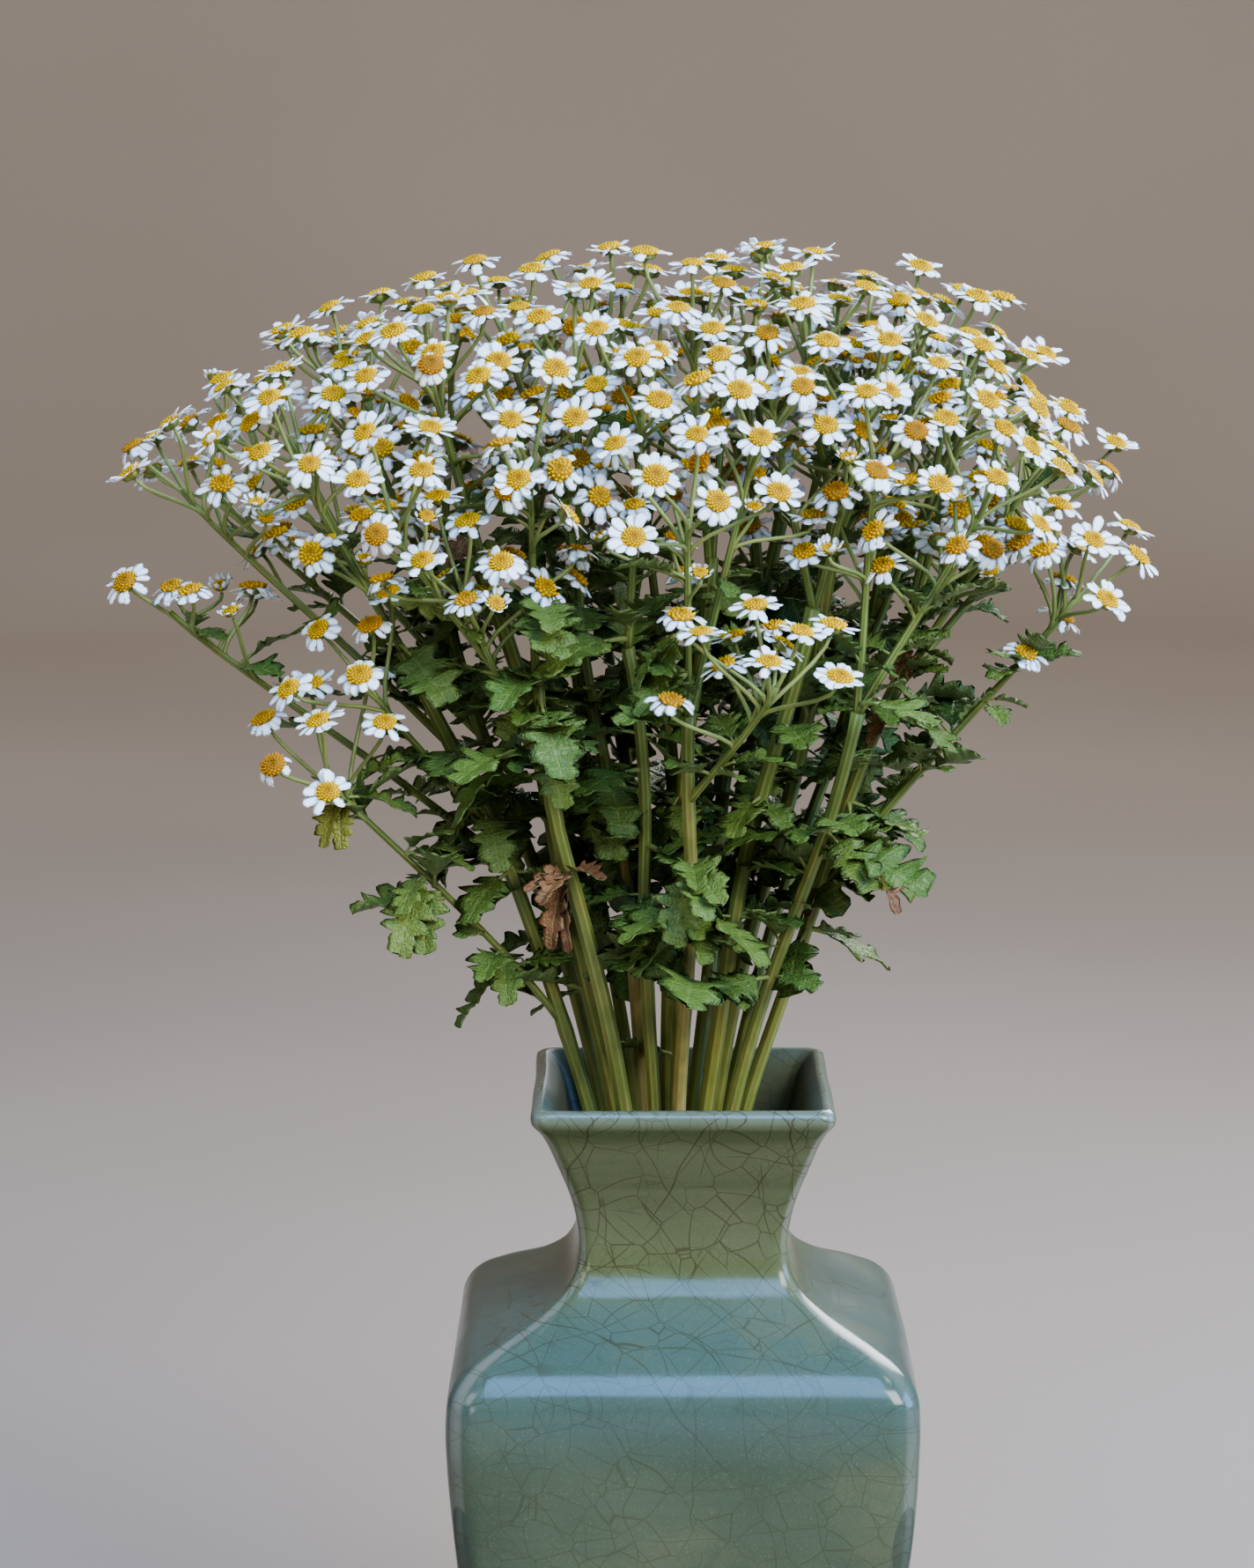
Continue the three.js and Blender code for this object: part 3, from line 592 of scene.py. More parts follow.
def stem_curve(number, sprays):
    """Curve of a main stem, and its radii, swollen where branches leave it."""
    forks = [spray.fork for spray in sprays if spray.stem == number]
    foot = FLOOR_HEIGHT + STEM_FOOT_GAP - RIM_HEIGHT
    top = max([*forks, STEM_TOP_LEAST]) + 1
    heights = np.linspace(foot, top, round((top - foot) / STEM_STEP) + 1)
    share = (heights - foot) / (top - foot)
    radii = STEM_FINE_RADII[0] + (STEM_FINE_RADII[1] - STEM_FINE_RADII[0]) * share
    radii *= 1 + STEM_UNEVEN * math.sin(STEM_UNEVEN_TURN * number)
    for fork in forks:
        radii = radii * (1 + JOINT_SWELL * np.exp(-(((heights - fork) / JOINT_LENGTH) ** 2)))
    return [stem_point(number, height) for height in heights], radii


def stalk_curve(root, leaving, neck, facing, steps=STALK_STEPS):
    """Stalk that leaves its branch along it and comes up behind its head."""
    handle = STALK_HANDLE * (neck - root).length
    second = root + handle * leaving
    third = neck - handle * facing
    points = []
    for i in range(steps):
        t = i / (steps - 1)
        s = 1 - t
        points.append(s**3 * root + 3 * s * s * t * second + 3 * s * t * t * third + t**3 * neck)
    return points


def direction_near(points, place):
    """Direction of a path at its point nearest to a place."""
    nearest = min(range(1, len(points)), key=lambda i: (points[i] - place).length)
    return (points[nearest] - points[nearest - 1]).normalized()


# Flower head: petals, disc and calyx, in millimetres from the head's place
PETAL_SHARES = {"fine": (0, 0.28, 0.58, 0.85, 1), "plain": (0, 0.42, 0.82, 1)}
PETAL_COLUMNS = {"fine": 5, "plain": 4}
PETAL_THICKNESS = 0.2
PETAL_BASE = 2.6
PETAL_WIDTH = 3.5
PETAL_SHOULDER = 0.66
PETAL_NARROW_FOOT = 0.36
PETAL_ROUND_TIP = (2.4, 2.1)
PETAL_CHANNEL = 0.17
PETAL_CUPPED = 0.24
PETAL_LEVEL = -0.25

# How far petals differ from each other
PETAL_SCATTER = 0.17
PETAL_SHORTER = 0.18
PETAL_WIDTHS = (0.8, 1.12)
PETAL_LIFT_SPREAD = 0.19
PETAL_BEND_SPREAD = 0.2
PETAL_TWIST_SPREAD = 0.28
PETAL_LAYER = 0.28
PETAL_LAYER_SPREAD = 0.1
PETAL_TONE_SPREAD = 0.4

# Disc and calyx
FLORETS = {"fine": 66, "plain": 38}
FLORET_SIDES = 5
FLORET_SIZES = (0.85, 1.15)
FLORET_LEAN = 0.16
FLORET_SUNK = 0.25
# Painted light on the florets: the range of painted highlight at their tips, and the painted shade at their
# feet
FLORET_TIP_HIGHLIGHTS = (0.6, 1)
FLORET_FOOT_SHADE = 0.1
# A floret's half width, and its height as a share of it: in the middle, and what the rim adds
FLORET_WIDTH = (0.078, 0.052)
FLORET_HEIGHT = (1.1, 0.75)
DISC_RINGS = 4
DISC_SIDES = 14
DISC_FINE_RADIUS = 4.0
DISC_RISE = 1.7
DISC_DIMPLE = 0.85
DISC_DIMPLE_WIDTH = 0.24
DISC_INNERMOST = 0.12
DISC_FOOT = (0.9, 0.9, -0.16)
CALYX_RINGS = 4
CALYX_SIDES = 12
CALYX_RADIUS = 3.7
CALYX_TOP = -0.35
NECK_RADIUS = 0.75
BRACT_VALLEY = 0.93
BRACT_SCALLOP = (0.25, -0.2)


def sheet_faces(rows, columns):
    """Faces of a thin closed sheet: a top grid, and an underside that shares the grid's rim."""
    top = np.arange(rows * columns).reshape(rows, columns)
    inner = (rows - 2) * (columns - 2)
    under = top.copy()
    under[1:-1, 1:-1] = rows * columns + np.arange(inner).reshape(rows - 2, columns - 2)

    def quads(grid):
        return np.stack([grid[:-1, :-1], grid[1:, :-1], grid[1:, 1:], grid[:-1, 1:]], -1).reshape(-1, 4)

    return [np.concatenate([quads(top), quads(under)[:, ::-1]])]


def closed_sheets(top, normals, thickness, looks):
    """Points and looks of closed sheets: a top grid (copies, rows, columns, 3) and its underside."""
    copies = len(top)
    inner = slice(1, -1)
    under = top[:, inner, inner] - thickness * normals[:, inner, inner]
    under_looks = looks[:, inner, inner].copy()
    under_looks[..., 3] = 1
    points = [grid.reshape(copies, -1, 3) for grid in (top, under)]
    looks = [grid.reshape(copies, -1, 4) for grid in (looks, under_looks)]
    return np.concatenate(points, axis=1), np.concatenate(looks, axis=1)


def grid_normals(top):
    """Upward normals of grids whose rows run outwards and whose columns run to the left."""
    return unit(np.cross(np.gradient(top, axis=1), np.gradient(top, axis=2)))


def head_axes(blooms):
    """Places of heads, and their side, across and facing directions."""
    places = np.array([bloom.place for bloom in blooms], float)
    facing = np.array([bloom.facing for bloom in blooms], float)
    turns = np.array([bloom.turn for bloom in blooms])
    side = np.stack([np.cos(turns), np.sin(turns), np.zeros(len(blooms))], -1)
    side = unit(side - (side * facing).sum(-1, keepdims=True) * facing)
    return places, side, np.cross(facing, side), facing


def local_to_world(points, places, axes):
    """Points (heads, n, 3) in the heads' own axes, put in their places."""
    side, across, facing = (axis[:, None] for axis in axes)
    return places[:, None] + points[..., :1] * side + points[..., 1:2] * across + points[..., 2:] * facing


def petal_rows(blooms, rng):
    """One row of numbers for each petal: head, angle, reach, width, lift, bend, twist, level and tone."""
    rows = []
    for number, bloom in enumerate(blooms):
        step = 2 * math.pi / bloom.petals
        for k in range(bloom.petals):
            if k in bloom.gaps:
                continue
            rows.append(
                (
                    number,
                    (k + rng.normal(0, PETAL_SCATTER)) * step,
                    bloom.reach * (1 - PETAL_SHORTER * rng.random() ** 1.4),
                    bloom.width * rng.uniform(*PETAL_WIDTHS),
                    bloom.lift + rng.normal(0, PETAL_LIFT_SPREAD),
                    bloom.bend + rng.normal(0, PETAL_BEND_SPREAD),
                    rng.normal(0, PETAL_TWIST_SPREAD),
                    PETAL_LAYER * (k % 2) + rng.uniform(-PETAL_LAYER_SPREAD, PETAL_LAYER_SPREAD),
                    bloom.tone * (1 - PETAL_TONE_SPREAD) + PETAL_TONE_SPREAD * rng.random(),
                )
            )
    return np.array(rows)


def petal_half_width(t):
    """Half width of a petal at shares of its length, as a share of the width."""
    opening = np.sin(np.pi / 2 * np.minimum(t / PETAL_SHOULDER, 1))
    widening = PETAL_NARROW_FOOT + (1 - PETAL_NARROW_FOOT) * opening
    narrowing = np.clip((t - PETAL_SHOULDER) / (1.04 - PETAL_SHOULDER), 0, 1)
    return 0.5 * widening * (1 - narrowing ** PETAL_ROUND_TIP[0]) ** (1 / PETAL_ROUND_TIP[1])


def add_petals(gathered, blooms, detail, rng):
    rows = petal_rows(blooms, rng)
    number = rows[:, 0].astype(int)
    angle, reach, width, lift, bend, twist, level, tone = (rows[:, k, None, None] for k in range(1, 9))
    t = np.array(PETAL_SHARES[detail], float)[None, :, None]
    s = np.linspace(-1, 1, PETAL_COLUMNS[detail])[None, None]
    length = reach - PETAL_BASE
    slope = lift - bend * t
    steps = np.diff(t, axis=1)
    middle = (slope[:, 1:] + slope[:, :-1]) / 2
    start = np.zeros_like(slope[:, :1])
    out = PETAL_BASE + length * np.concatenate([start, np.cumsum(np.cos(middle) * steps, axis=1)], axis=1)
    rise = level + length * np.concatenate([start, np.cumsum(np.sin(middle) * steps, axis=1)], axis=1)
    half = width * petal_half_width(t) * s
    rounding = 0.6 * t**6 * np.abs(s) ** 2 + 0.2 * t**8 * (np.abs(s) < 0.1)
    channel = PETAL_CHANNEL * np.cos(2 * np.pi * s) * np.sin(np.pi * np.clip(t, 0, 0.9))
    cupped = PETAL_CUPPED * s * s * t
    turned = twist * t
    radial = out - rounding
    sideways = half * np.cos(turned)
    upward = rise + PETAL_LEVEL + (channel - cupped) + half * np.sin(turned)
    local = np.stack(
        [
            radial * np.cos(angle) - sideways * np.sin(angle),
            radial * np.sin(angle) + sideways * np.cos(angle),
            upward,
        ],
        axis=-1,
    )
    places, *axes = head_axes(blooms)
    grid = local_to_world(local.reshape(len(rows), -1, 3), places[number], [a[number] for a in axes])
    grid = grid.reshape(local.shape)
    looks = looks_of(t, s, tone)
    points, looks = closed_sheets(grid, grid_normals(grid), PETAL_THICKNESS, looks)
    gathered.add(points, sheet_faces(*grid.shape[1:3]), looks)


def disc_height(out):
    """Height of a disc over its rim at shares of its radius: a dome with a dimple in its middle."""
    dome = DISC_RISE * (1 - np.clip(out, 0, 1) ** 2.2)
    return dome - DISC_DIMPLE * np.exp(-((out / DISC_DIMPLE_WIDTH) ** 2))


def disc_dome():
    """Points of the smooth dome under the florets, in a disc of one unit, and their shares outwards."""
    out = np.linspace(1, DISC_INNERMOST, DISC_RINGS)
    angles = 2 * np.pi * np.arange(DISC_SIDES) / DISC_SIDES
    heights = disc_height(out) / DISC_FINE_RADIUS
    ring = np.stack([np.cos(angles), np.sin(angles), np.ones(DISC_SIDES)], -1)
    points = ring[None] * np.stack([out, out, heights], -1)[:, None]
    foot = ring * DISC_FOOT
    return np.concatenate([foot[None], points]).reshape(-1, 3), np.repeat([1, *out], DISC_SIDES)


def disc_florets(count, rng):
    """Small pointed florets set in a spiral over the dome, in a disc of one unit.

    The numbers with each point are its share outwards and its painted light: low at the feet, for painted
    shade in the gaps between florets, and high at the tips, for a painted highlight that varies at random
    from floret to floret.
    """
    points = []
    shares = []
    floret_shade_and_highlight = []
    for k in range(count):
        out = math.sqrt((k + 0.35) / count)
        turn = k * GOLDEN_ANGLE
        size = math.sqrt(FLORETS["fine"] / count) * (FLORET_WIDTH[0] + FLORET_WIDTH[1] * out)
        size *= rng.uniform(*FLORET_SIZES)
        height = float(disc_height(out)) / DISC_FINE_RADIUS
        around = [float(disc_height(out + step)) for step in (0.02, -0.02)]
        slope = (around[0] - around[1]) / 0.04 / DISC_FINE_RADIUS
        outward = Vector((math.cos(turn), math.sin(turn), 0))
        normal = (Vector((0, 0, 1)) - slope * outward).normalized()
        middle = out * outward + Vector((0, 0, height))
        side = normal.orthogonal().normalized()
        across = normal.cross(side)
        spin = rng.random() * math.pi
        lean = rng.normal(0, FLORET_LEAN) * side + rng.normal(0, FLORET_LEAN) * across
        points.append(middle + (FLORET_HEIGHT[0] + FLORET_HEIGHT[1] * out) * size * (normal + lean))
        floret_shade_and_highlight.append(rng.uniform(*FLORET_TIP_HIGHLIGHTS))
        for corner in range(FLORET_SIDES):
            angle = spin + 2 * math.pi * corner / FLORET_SIDES
            reach = math.cos(angle) * side + math.sin(angle) * across
            points.append(middle + size * reach - FLORET_SUNK * size * normal)
            floret_shade_and_highlight.append(FLORET_FOOT_SHADE)
        shares.extend([out] * (FLORET_SIDES + 1))
    return np.array(points, float), np.array(shares), np.array(floret_shade_and_highlight)


def floret_faces(count):
    corners = np.arange(FLORET_SIDES)
    one = np.stack([0 * corners, 1 + corners, 1 + (corners + 1) % FLORET_SIDES], -1)
    return [(one[None] + (FLORET_SIDES + 1) * np.arange(count)[:, None, None]).reshape(-1, 3)]


def add_discs(gathered, blooms, detail, rng):
    places, *axes = head_axes(blooms)
    radii = np.array([bloom.disc for bloom in blooms])[:, None, None]
    tones = np.array([bloom.tone for bloom in blooms])[:, None]
    dome, dome_shares = disc_dome()
    florets, floret_shares, floret_shade_and_highlight = disc_florets(FLORETS[detail], rng)
    dome_points = local_to_world(dome[None] * radii, places, axes)
    floret_points = local_to_world(florets[None] * radii, places, axes)
    dome_looks = looks_of(dome_shares[None], 0.0, tones)
    gathered.add(dome_points, rod_faces(DISC_RINGS + 1, DISC_SIDES), dome_looks)
    floret_looks = looks_of(floret_shares[None], floret_shade_and_highlight[None], tones)
    gathered.add(floret_points, floret_faces(FLORETS[detail]), floret_looks)


def add_calyces(gathered, blooms):
    """Green bowl of narrow bracts under each disc, down to the neck of its stalk."""
    places, *axes = head_axes(blooms)
    scale = np.array([bloom.disc / DISC_FINE_RADIUS for bloom in blooms])[:, None, None]
    tones = np.array([bloom.green for bloom in blooms])[:, None]
    depth = np.linspace(0, 1, CALYX_RINGS)
    radii = NECK_RADIUS + (CALYX_RADIUS - NECK_RADIUS) * (1 - (1 - depth) ** 2.4) ** 0.5
    heights = -CALYX_DEPTH + (CALYX_DEPTH + CALYX_TOP) * depth
    angles = 2 * np.pi * np.arange(CALYX_SIDES) / CALYX_SIDES
    on_ridge = np.arange(CALYX_SIDES) % 2 == 0
    bract = np.where(on_ridge, 1.0, BRACT_VALLEY)
    scallop = np.where(on_ridge, *BRACT_SCALLOP)
    reach = radii[:, None] * (1 + (bract[None] - 1) * depth[:, None])
    level = heights[:, None] + scallop[None] * depth[:, None] ** 3
    bowl = np.stack([reach * np.cos(angles), reach * np.sin(angles), level], -1).reshape(1, -1, 3)
    ridges = np.tile(on_ridge.astype(float), CALYX_RINGS)[None]
    looks = looks_of(np.repeat(depth, CALYX_SIDES)[None], ridges, tones, 0.5)
    gathered.add(local_to_world(bowl * scale, places, axes), rod_faces(CALYX_RINGS, CALYX_SIDES), looks)


# Leaf: the lobes of one half as [place, half width, half length], all as shares of the leaf's length
LEAF_LOBES = [(0.36, 0.27, 0.082), (0.53, 0.37, 0.09), (0.71, 0.32, 0.092), (0.88, 0.18, 0.12)]
LEAF_BLADE_STARTS = 0.22
LEAF_SKEW = 0.34
LEAF_TEETH = 30
LEAF_TOOTH_DEPTH = 0.13
LEAF_STALK_OVERLAP = 0.06
LEAF_STALK_UNDER = 0.006
LEAF_STALK_STEPS = 5
LEAF_STALK_RADII = (0.85, 0.5)
LEAF_USUAL = 26
LEAF_QUILT = 0.018
LEAF_WAVES = (0.045, 0.03)
LEAF_FOLD = 0.18
LEAF_DROOP = 0.3
LEAF_CLEAR = 1.3
LEAF_APART = 3.2
LEAF_LEAST = 14
LEAF_ROOM_ACROSS = 0.33
LEAF_STALK_ENDS = 0.35
LEAF_SEARCH = 60
HEAD_HALF_DEPTH = 4
LEAF_TURNS = (0, 0.35, -0.35, 0.7, -0.7, 1.1, -1.1, 1.6, -1.6, 2.2, -2.2, 3)
LEAF_SHRINKS = (1, 0.85, 0.7)
LEAF_THICKNESS = 0.4
LEAF_GRIDS = {"large": (32, 7), "small": (19, 5)}

# Large leaves: carrier, its number, height above the rim, way x, y, z, length.
# A carrier is a stem, or a spray off the dome.
LEAVES = [
    ("stem", 1, 120, -0.85, -0.4, -0.3, 38), ("spray", 0, 66, -0.95, -0.3, 0.05, 30),
    ("spray", 0, 70, -0.3, -0.5, 0.8, 24), ("spray", 0, 41, -0.75, -0.3, -0.45, 24),
    ("spray", 0, 96, -0.6, -0.3, 0.5, 20), ("stem", 2, 156, -0.85, -0.4, 0.1, 34),
    ("stem", 2, 108, -0.6, -0.7, 0.1, 28), ("stem", 3, 62, 0.75, -0.6, 0.1, 32),
    ("stem", 3, 66, -0.7, -0.6, -0.1, 28), ("stem", 3, 138, -0.6, -0.7, 0.2, 28),
    ("stem", 5, 84, 0.85, -0.5, -0.1, 38), ("stem", 5, 90, 0.2, -0.8, 0.4, 28),
    ("stem", 6, 78, 0.9, -0.3, -0.25, 30), ("stem", 6, 122, 0.8, -0.5, 0.15, 32),
    ("stem", 5, 150, 0.6, -0.7, 0.2, 30), ("spray", 3, 140, 0.8, -0.2, 0.4, 20),
    ("stem", 0, 150, -0.8, -0.4, -0.3, 32), ("stem", 7, 165, -0.7, -0.5, 0.1, 30),
    ("stem", 1, 152, -0.6, -0.7, 0.1, 28), ("stem", 4, 122, 0.5, -0.8, 0.1, 28),
    ("stem", 2, 44, -0.6, -0.7, 0.3, 24), ("stem", 11, 96, -0.9, 0.3, 0.1, 32),
    ("stem", 12, 130, -0.6, 0.7, 0.1, 32), ("stem", 16, 88, -0.3, 0.9, 0.1, 34),
    ("stem", 16, 140, 0.3, 0.9, 0.2, 28), ("stem", 17, 70, 0.5, 0.8, 0.1, 34),
    ("stem", 17, 118, -0.3, 0.9, 0.1, 30), ("stem", 15, 100, 0.8, 0.5, 0.1, 34),
    ("stem", 11, 150, -0.6, 0.6, 0.2, 28),
]


def leaf_sample(leaf, x, y):
    """Point of a large leaf's blade: shares of its length along and across."""
    sideways = Vector((0, 0, 1)).cross(leaf.direction).normalized()
    up = leaf.direction.cross(sideways)
    lift = leaf.length * (LEAF_FOLD * abs(y) - LEAF_DROOP * x * x)
    return leaf.root + x * leaf.length * leaf.direction + y * leaf.length * sideways + lift * up


def leaf_samples(leaf):
    """Points over a leaf's blade and the end of its stalk."""
    samples = []
    for x in (0.3, 0.4, 0.5, 0.6, 0.7, 0.8, 0.9, 1):
        half = 0 if x < LEAF_STALK_ENDS else LEAF_ROOM_ACROSS * min(1, (1.05 - x) / LEAF_STALK_ENDS)
        samples.extend(leaf_sample(leaf, x, share * half) for share in (-1, -0.5, 0, 0.5, 1))
    return np.array(samples, float)


def distances_to_rods(points, starts, ends):
    """Distances of points (n, 3) from straight rods (m, 3), as (n, m)."""
    along = ends - starts
    offset = points[:, None] - starts[None]
    share = (offset * along).sum(-1) / (along * along).sum(-1)
    nearest = starts + np.clip(share, 0, 1)[..., None] * along
    return np.linalg.norm(points[:, None] - nearest, axis=-1)


def leaf_has_room(leaf, samples, rods, heads, placed):
    """A leaf has room where its blade is clear of other stems, of heads and of the leaves before it."""
    starts, ends, radii, owners = rods
    near_root = np.linalg.norm(samples - np.array(leaf.root), axis=1) < 0.5 * leaf.length
    own = near_root[:, None] & (owners == leaf.stem)[None]
    if (~own & (distances_to_rods(samples, starts, ends) < radii + LEAF_CLEAR)).any():
        return False
    places, facing = heads
    offset = samples[:, None] - places[None]
    level = np.abs((offset * facing).sum(-1))
    if ((np.linalg.norm(offset, axis=-1) < PETAL_REACH + LEAF_CLEAR) & (level < HEAD_HALF_DEPTH)).any():
        return False
    taken = [other.samples for other in placed]
    apart = [np.linalg.norm(samples[:, None] - others[None], axis=-1).min() for others in taken]
    return min(apart, default=LEAF_APART) >= LEAF_APART


def rods_of_bouquet(stems, sprays, heads):
    """Every straight rod of the bouquet: starts, ends, radii and the numbers of their stems."""
    rows = [(head.root, head_neck(head), PEDICEL_RADIUS, head.stem) for head in heads]
    for spray in sprays:
        rows.extend((a, b, BRANCH_RADIUS, spray.stem) for a, b in zip(spray.branch, spray.branch[1:]))
    for number, points in enumerate(stems):
        rows.extend((a, b, STEM_RADIUS_FOOT, number) for a, b in zip(points, points[1:]))
    starts, ends, radii, owners = zip(*rows)
    return np.array(starts, float), np.array(ends, float), np.array(radii), np.array(owners)


def find_room(stem, root, length, way, rods, heads, placed):
    """A leaf turned, and shortened if need be, until it has room."""
    starts, ends, radii, owners = rods
    near = distances_to_rods(np.array([root], float), starts, ends)[0] < LEAF_SEARCH
    near_rods = (starts[near], ends[near], radii[near], owners[near])
    for shrink in LEAF_SHRINKS:
        if length * shrink < LEAF_LEAST:
            return None
        for turn in LEAF_TURNS:
            direction = Quaternion((0, 0, 1), turn) @ way
            leaf = SimpleNamespace(stem=stem, root=root, length=length * shrink, direction=direction)
            leaf.samples = leaf_samples(leaf)
            if leaf_has_room(leaf, leaf.samples, near_rods, heads, placed):
                return leaf
    return None


def place_large_leaves(stems, sprays, heads):
    """The part's own large leaves, found where the part has them."""
    extras = sprays[SPRAYS_IN_DOME:]
    rods = rods_of_bouquet(stems, sprays, heads)
    places = np.array([head.place for head in heads], float)
    facing = np.array([head.facing for head in heads], float)
    placed = []
    for carrier, number, height, *way, length in LEAVES:
        path = stems[number] if carrier == "stem" else extras[number].branch
        stem = number if carrier == "stem" else extras[number].stem
        root = path_at_height(path, RIM_HEIGHT + height)
        leaf = find_room(stem, root, length, Vector(way).normalized(), rods, (places, facing), placed)
        if leaf:
            placed.append(leaf)
    return placed


def leaf_half_width(x):
    """Half width of a leaf's lobed and toothed blade, as a share of its length."""
    width = 0.035 + 0.075 * np.clip((x - LEAF_BLADE_STARTS) / 0.3, 0, 1)
    for middle, reach, half in LEAF_LOBES:
        lobe = reach * (1 - np.clip(np.abs((x - middle) / half), 0, 1) ** 2.6) ** 0.5
        width = np.maximum(width, lobe)
    teeth = 1 - LEAF_TOOTH_DEPTH * (0.5 + 0.5 * np.cos(2 * np.pi * LEAF_TEETH * x))
    return width * teeth * np.clip((1 - x) / 0.03, 0, 1) ** 0.5


def add_leaves(blades, stalks, leaves, size):
    """Thin lobed leaves and their stalks, folded along the rib, waved and drooping."""
    if not leaves:
        return
    rows, columns = LEAF_GRIDS[size]
    root = np.array([leaf.root for leaf in leaves], float)[:, None, None]
    direction = np.array([leaf.direction for leaf in leaves], float)
    values = [(leaf.length, leaf.fold, leaf.droop, leaf.roll, leaf.wave, leaf.tone) for leaf in leaves]
    length, fold, droop, roll, wave, tone = (np.array(v)[:, None, None] for v in zip(*values))
    level = unit(np.cross([[0.0, 0.0, 1.0]], direction))
    upward = np.cross(direction, level)
    roll_flat = roll[:, 0]
    sideways = (np.cos(roll_flat) * level + np.sin(roll_flat) * upward)[:, None, None]
    up = (np.cos(roll_flat) * upward - np.sin(roll_flat) * level)[:, None, None]
    direction = direction[:, None, None]
    x = np.linspace(LEAF_BLADE_STARTS, 1, rows)[None, :, None]
    s = np.linspace(-1, 1, columns)[None, None]
    y = leaf_half_width(x) * s
    along = x + LEAF_SKEW * np.abs(y)
    quilt = LEAF_QUILT * np.sin(np.pi * np.abs(s)) * np.cos(2 * np.pi * (x - LEAF_LOBES[0][0]) / 0.175)
    ripple = LEAF_WAVES[0] * np.abs(y) / 0.3 * np.sin(14 * along + wave)
    ripple = ripple + LEAF_WAVES[1] * s * np.sin(6 * along + 2 * wave)
    lift = fold * np.abs(y) - droop * along**2 + quilt + ripple

    def at(distance, across, height):
        return root + length[..., None] * (
            distance[..., None] * direction + across[..., None] * sideways + height[..., None] * up
        )

    grid = at(along, y, lift)
    looks = looks_of(x, s, tone)
    points, looks = closed_sheets(grid, grid_normals(grid), LEAF_THICKNESS, looks)
    blades.add(points, sheet_faces(rows, columns), looks)
    reach = np.linspace(0, LEAF_BLADE_STARTS + LEAF_STALK_OVERLAP, LEAF_STALK_STEPS)[None, :, None]
    lines = at(reach, 0 * reach, -droop * reach**2 - LEAF_STALK_UNDER)[:, :, 0]
    radii = np.linspace(*LEAF_STALK_RADII, LEAF_STALK_STEPS)[None]
    radii = radii * np.clip(length[:, :, 0] / LEAF_USUAL, 0.6, 1.2)
    add_rods(stalks, lines, radii, STALK_SIDES, tone[:, 0, 0], kind=1.0)


# Grown heads, by their age from 0, fresh, to 1, old
BLOOM_SEED = 21
FULL_TURN = 6.28
HEAD_UPWARD = 0.24
OLD_SHARE = 0.14
OLD_AGES = (0.55, 1)
FRESH_AGES = 0.15
HEAD_PETALS = (10, 14)
USUAL_PETALS = 12
SHORTER_REACH = 1.2
HEAD_LIFT = (0.1, 0.13)
HEAD_BEND = (0.2, 0.14)
OLD_DROOP = 0.45
OLD_BEND = 0.2
HEAD_DISCS = (0.88, 1.05)
FRESH_TONES = 0.3
OLD_TONE = 0.75
# Chances that a petal is lost: at any age, and what age adds
PETAL_LOSSES = [(0.3, 0), (0, 0.7), (0, 0.5)]

# Heads that have just opened
YOUNG_PETALS = (9, 13)
YOUNG_REACH = (4.6, 6.4)
YOUNG_WIDTH = 2.1
YOUNG_LIFT = (0.5, 1.15)
YOUNG_BEND = (-0.3, 0.2)
YOUNG_DISCS = (0.55, 0.7)
YOUNG_FACING = (0, -0.35, 1)
YOUNG_STALK = 22
# Those in the photograph: x, y and height above the rim
SEEN_YOUNG_HEADS = [(-132, -62, 196), (44, -66, 182), (50, -64, 210), (-100, -40, 176), (84, -48, 196)]

# More heads below the canopy: the room they need, and where they grow and face
YOUNG_SHARE = 0.16
LOWER_AGES = (1.6, 1.4)
LOWER_TRIES = 110
LOWER_HEADS_EACH = 6
LOWER_ROOM = 11.5
LOWER_STALK_ROOM = 5
LOWER_DEEPEST = 84
LOWER_OFF_BOX = 12
LOWER_ROOTS_BACK = (6, 50)
LOWER_OUT = (8, 28)
LOWER_UP = (10, 30)
LOWER_SPLAY = 0.35
LOWER_FACING = (0, -0.15, 1)
LOWER_SCATTER = 0.3

# How leaves differ from each other
LEAF_FOLD_MORE = (0.06, 0.12)
LEAF_DROOP_SPREAD = 0.1
LEAF_ROLL_SPREAD = 0.25
LARGE_LEAF_TONES = (0.1, 0.6)
SMALL_LEAF_TONES = (2, 4)

# Small leaves in clumps: where the first clump is, how far the clumps are apart, how many leaves they
# have, the shortest share of a length, the lengths, and how the leaves rise
STEM_CLUMPS = SimpleNamespace(
    first=(24, 44), apart=(10, 18), leaves=(2, 6), least=0.5, lengths=(26, 40), rise=(-0.6, 0.9)
)
BRANCH_CLUMPS = SimpleNamespace(
    first=(20, 30), apart=(13, 21), leaves=(1, 4), least=0.6, lengths=(16, 28), rise=(0.1, 1)
)
CLUMP_FAN = 1
CLUMP_TURN_SPREAD = 0.25
CLUMP_RISE_SPREAD = 0.3
# Stems have few leaves low down, and those at the front have fewer all the way up
BARE_BELOW = 20
FULL_LEAF_RISE = 50
LEAST_LEAFY = 0.12
FRONT_STEMS_BEFORE = -0.12
FRONT_STEM_LEAVES = 0.4
LEAVES_BELOW_DOME = 30
LEAF_OFF_HEADS = 10
BOX_MARGIN = 4

# Clumps of leaves that stand out, fanned across the view
SEEN_FAN = 0.75
SEEN_STALK_SHARE = 0.5
SEEN_FAN_SPREAD = 0.15
SEEN_DEPTH_SPREAD = 0.25
SEEN_SIZES = (0.75, 1)
SEEN_TONE_SPREAD = 0.06
CURL_FOLD = 0.6
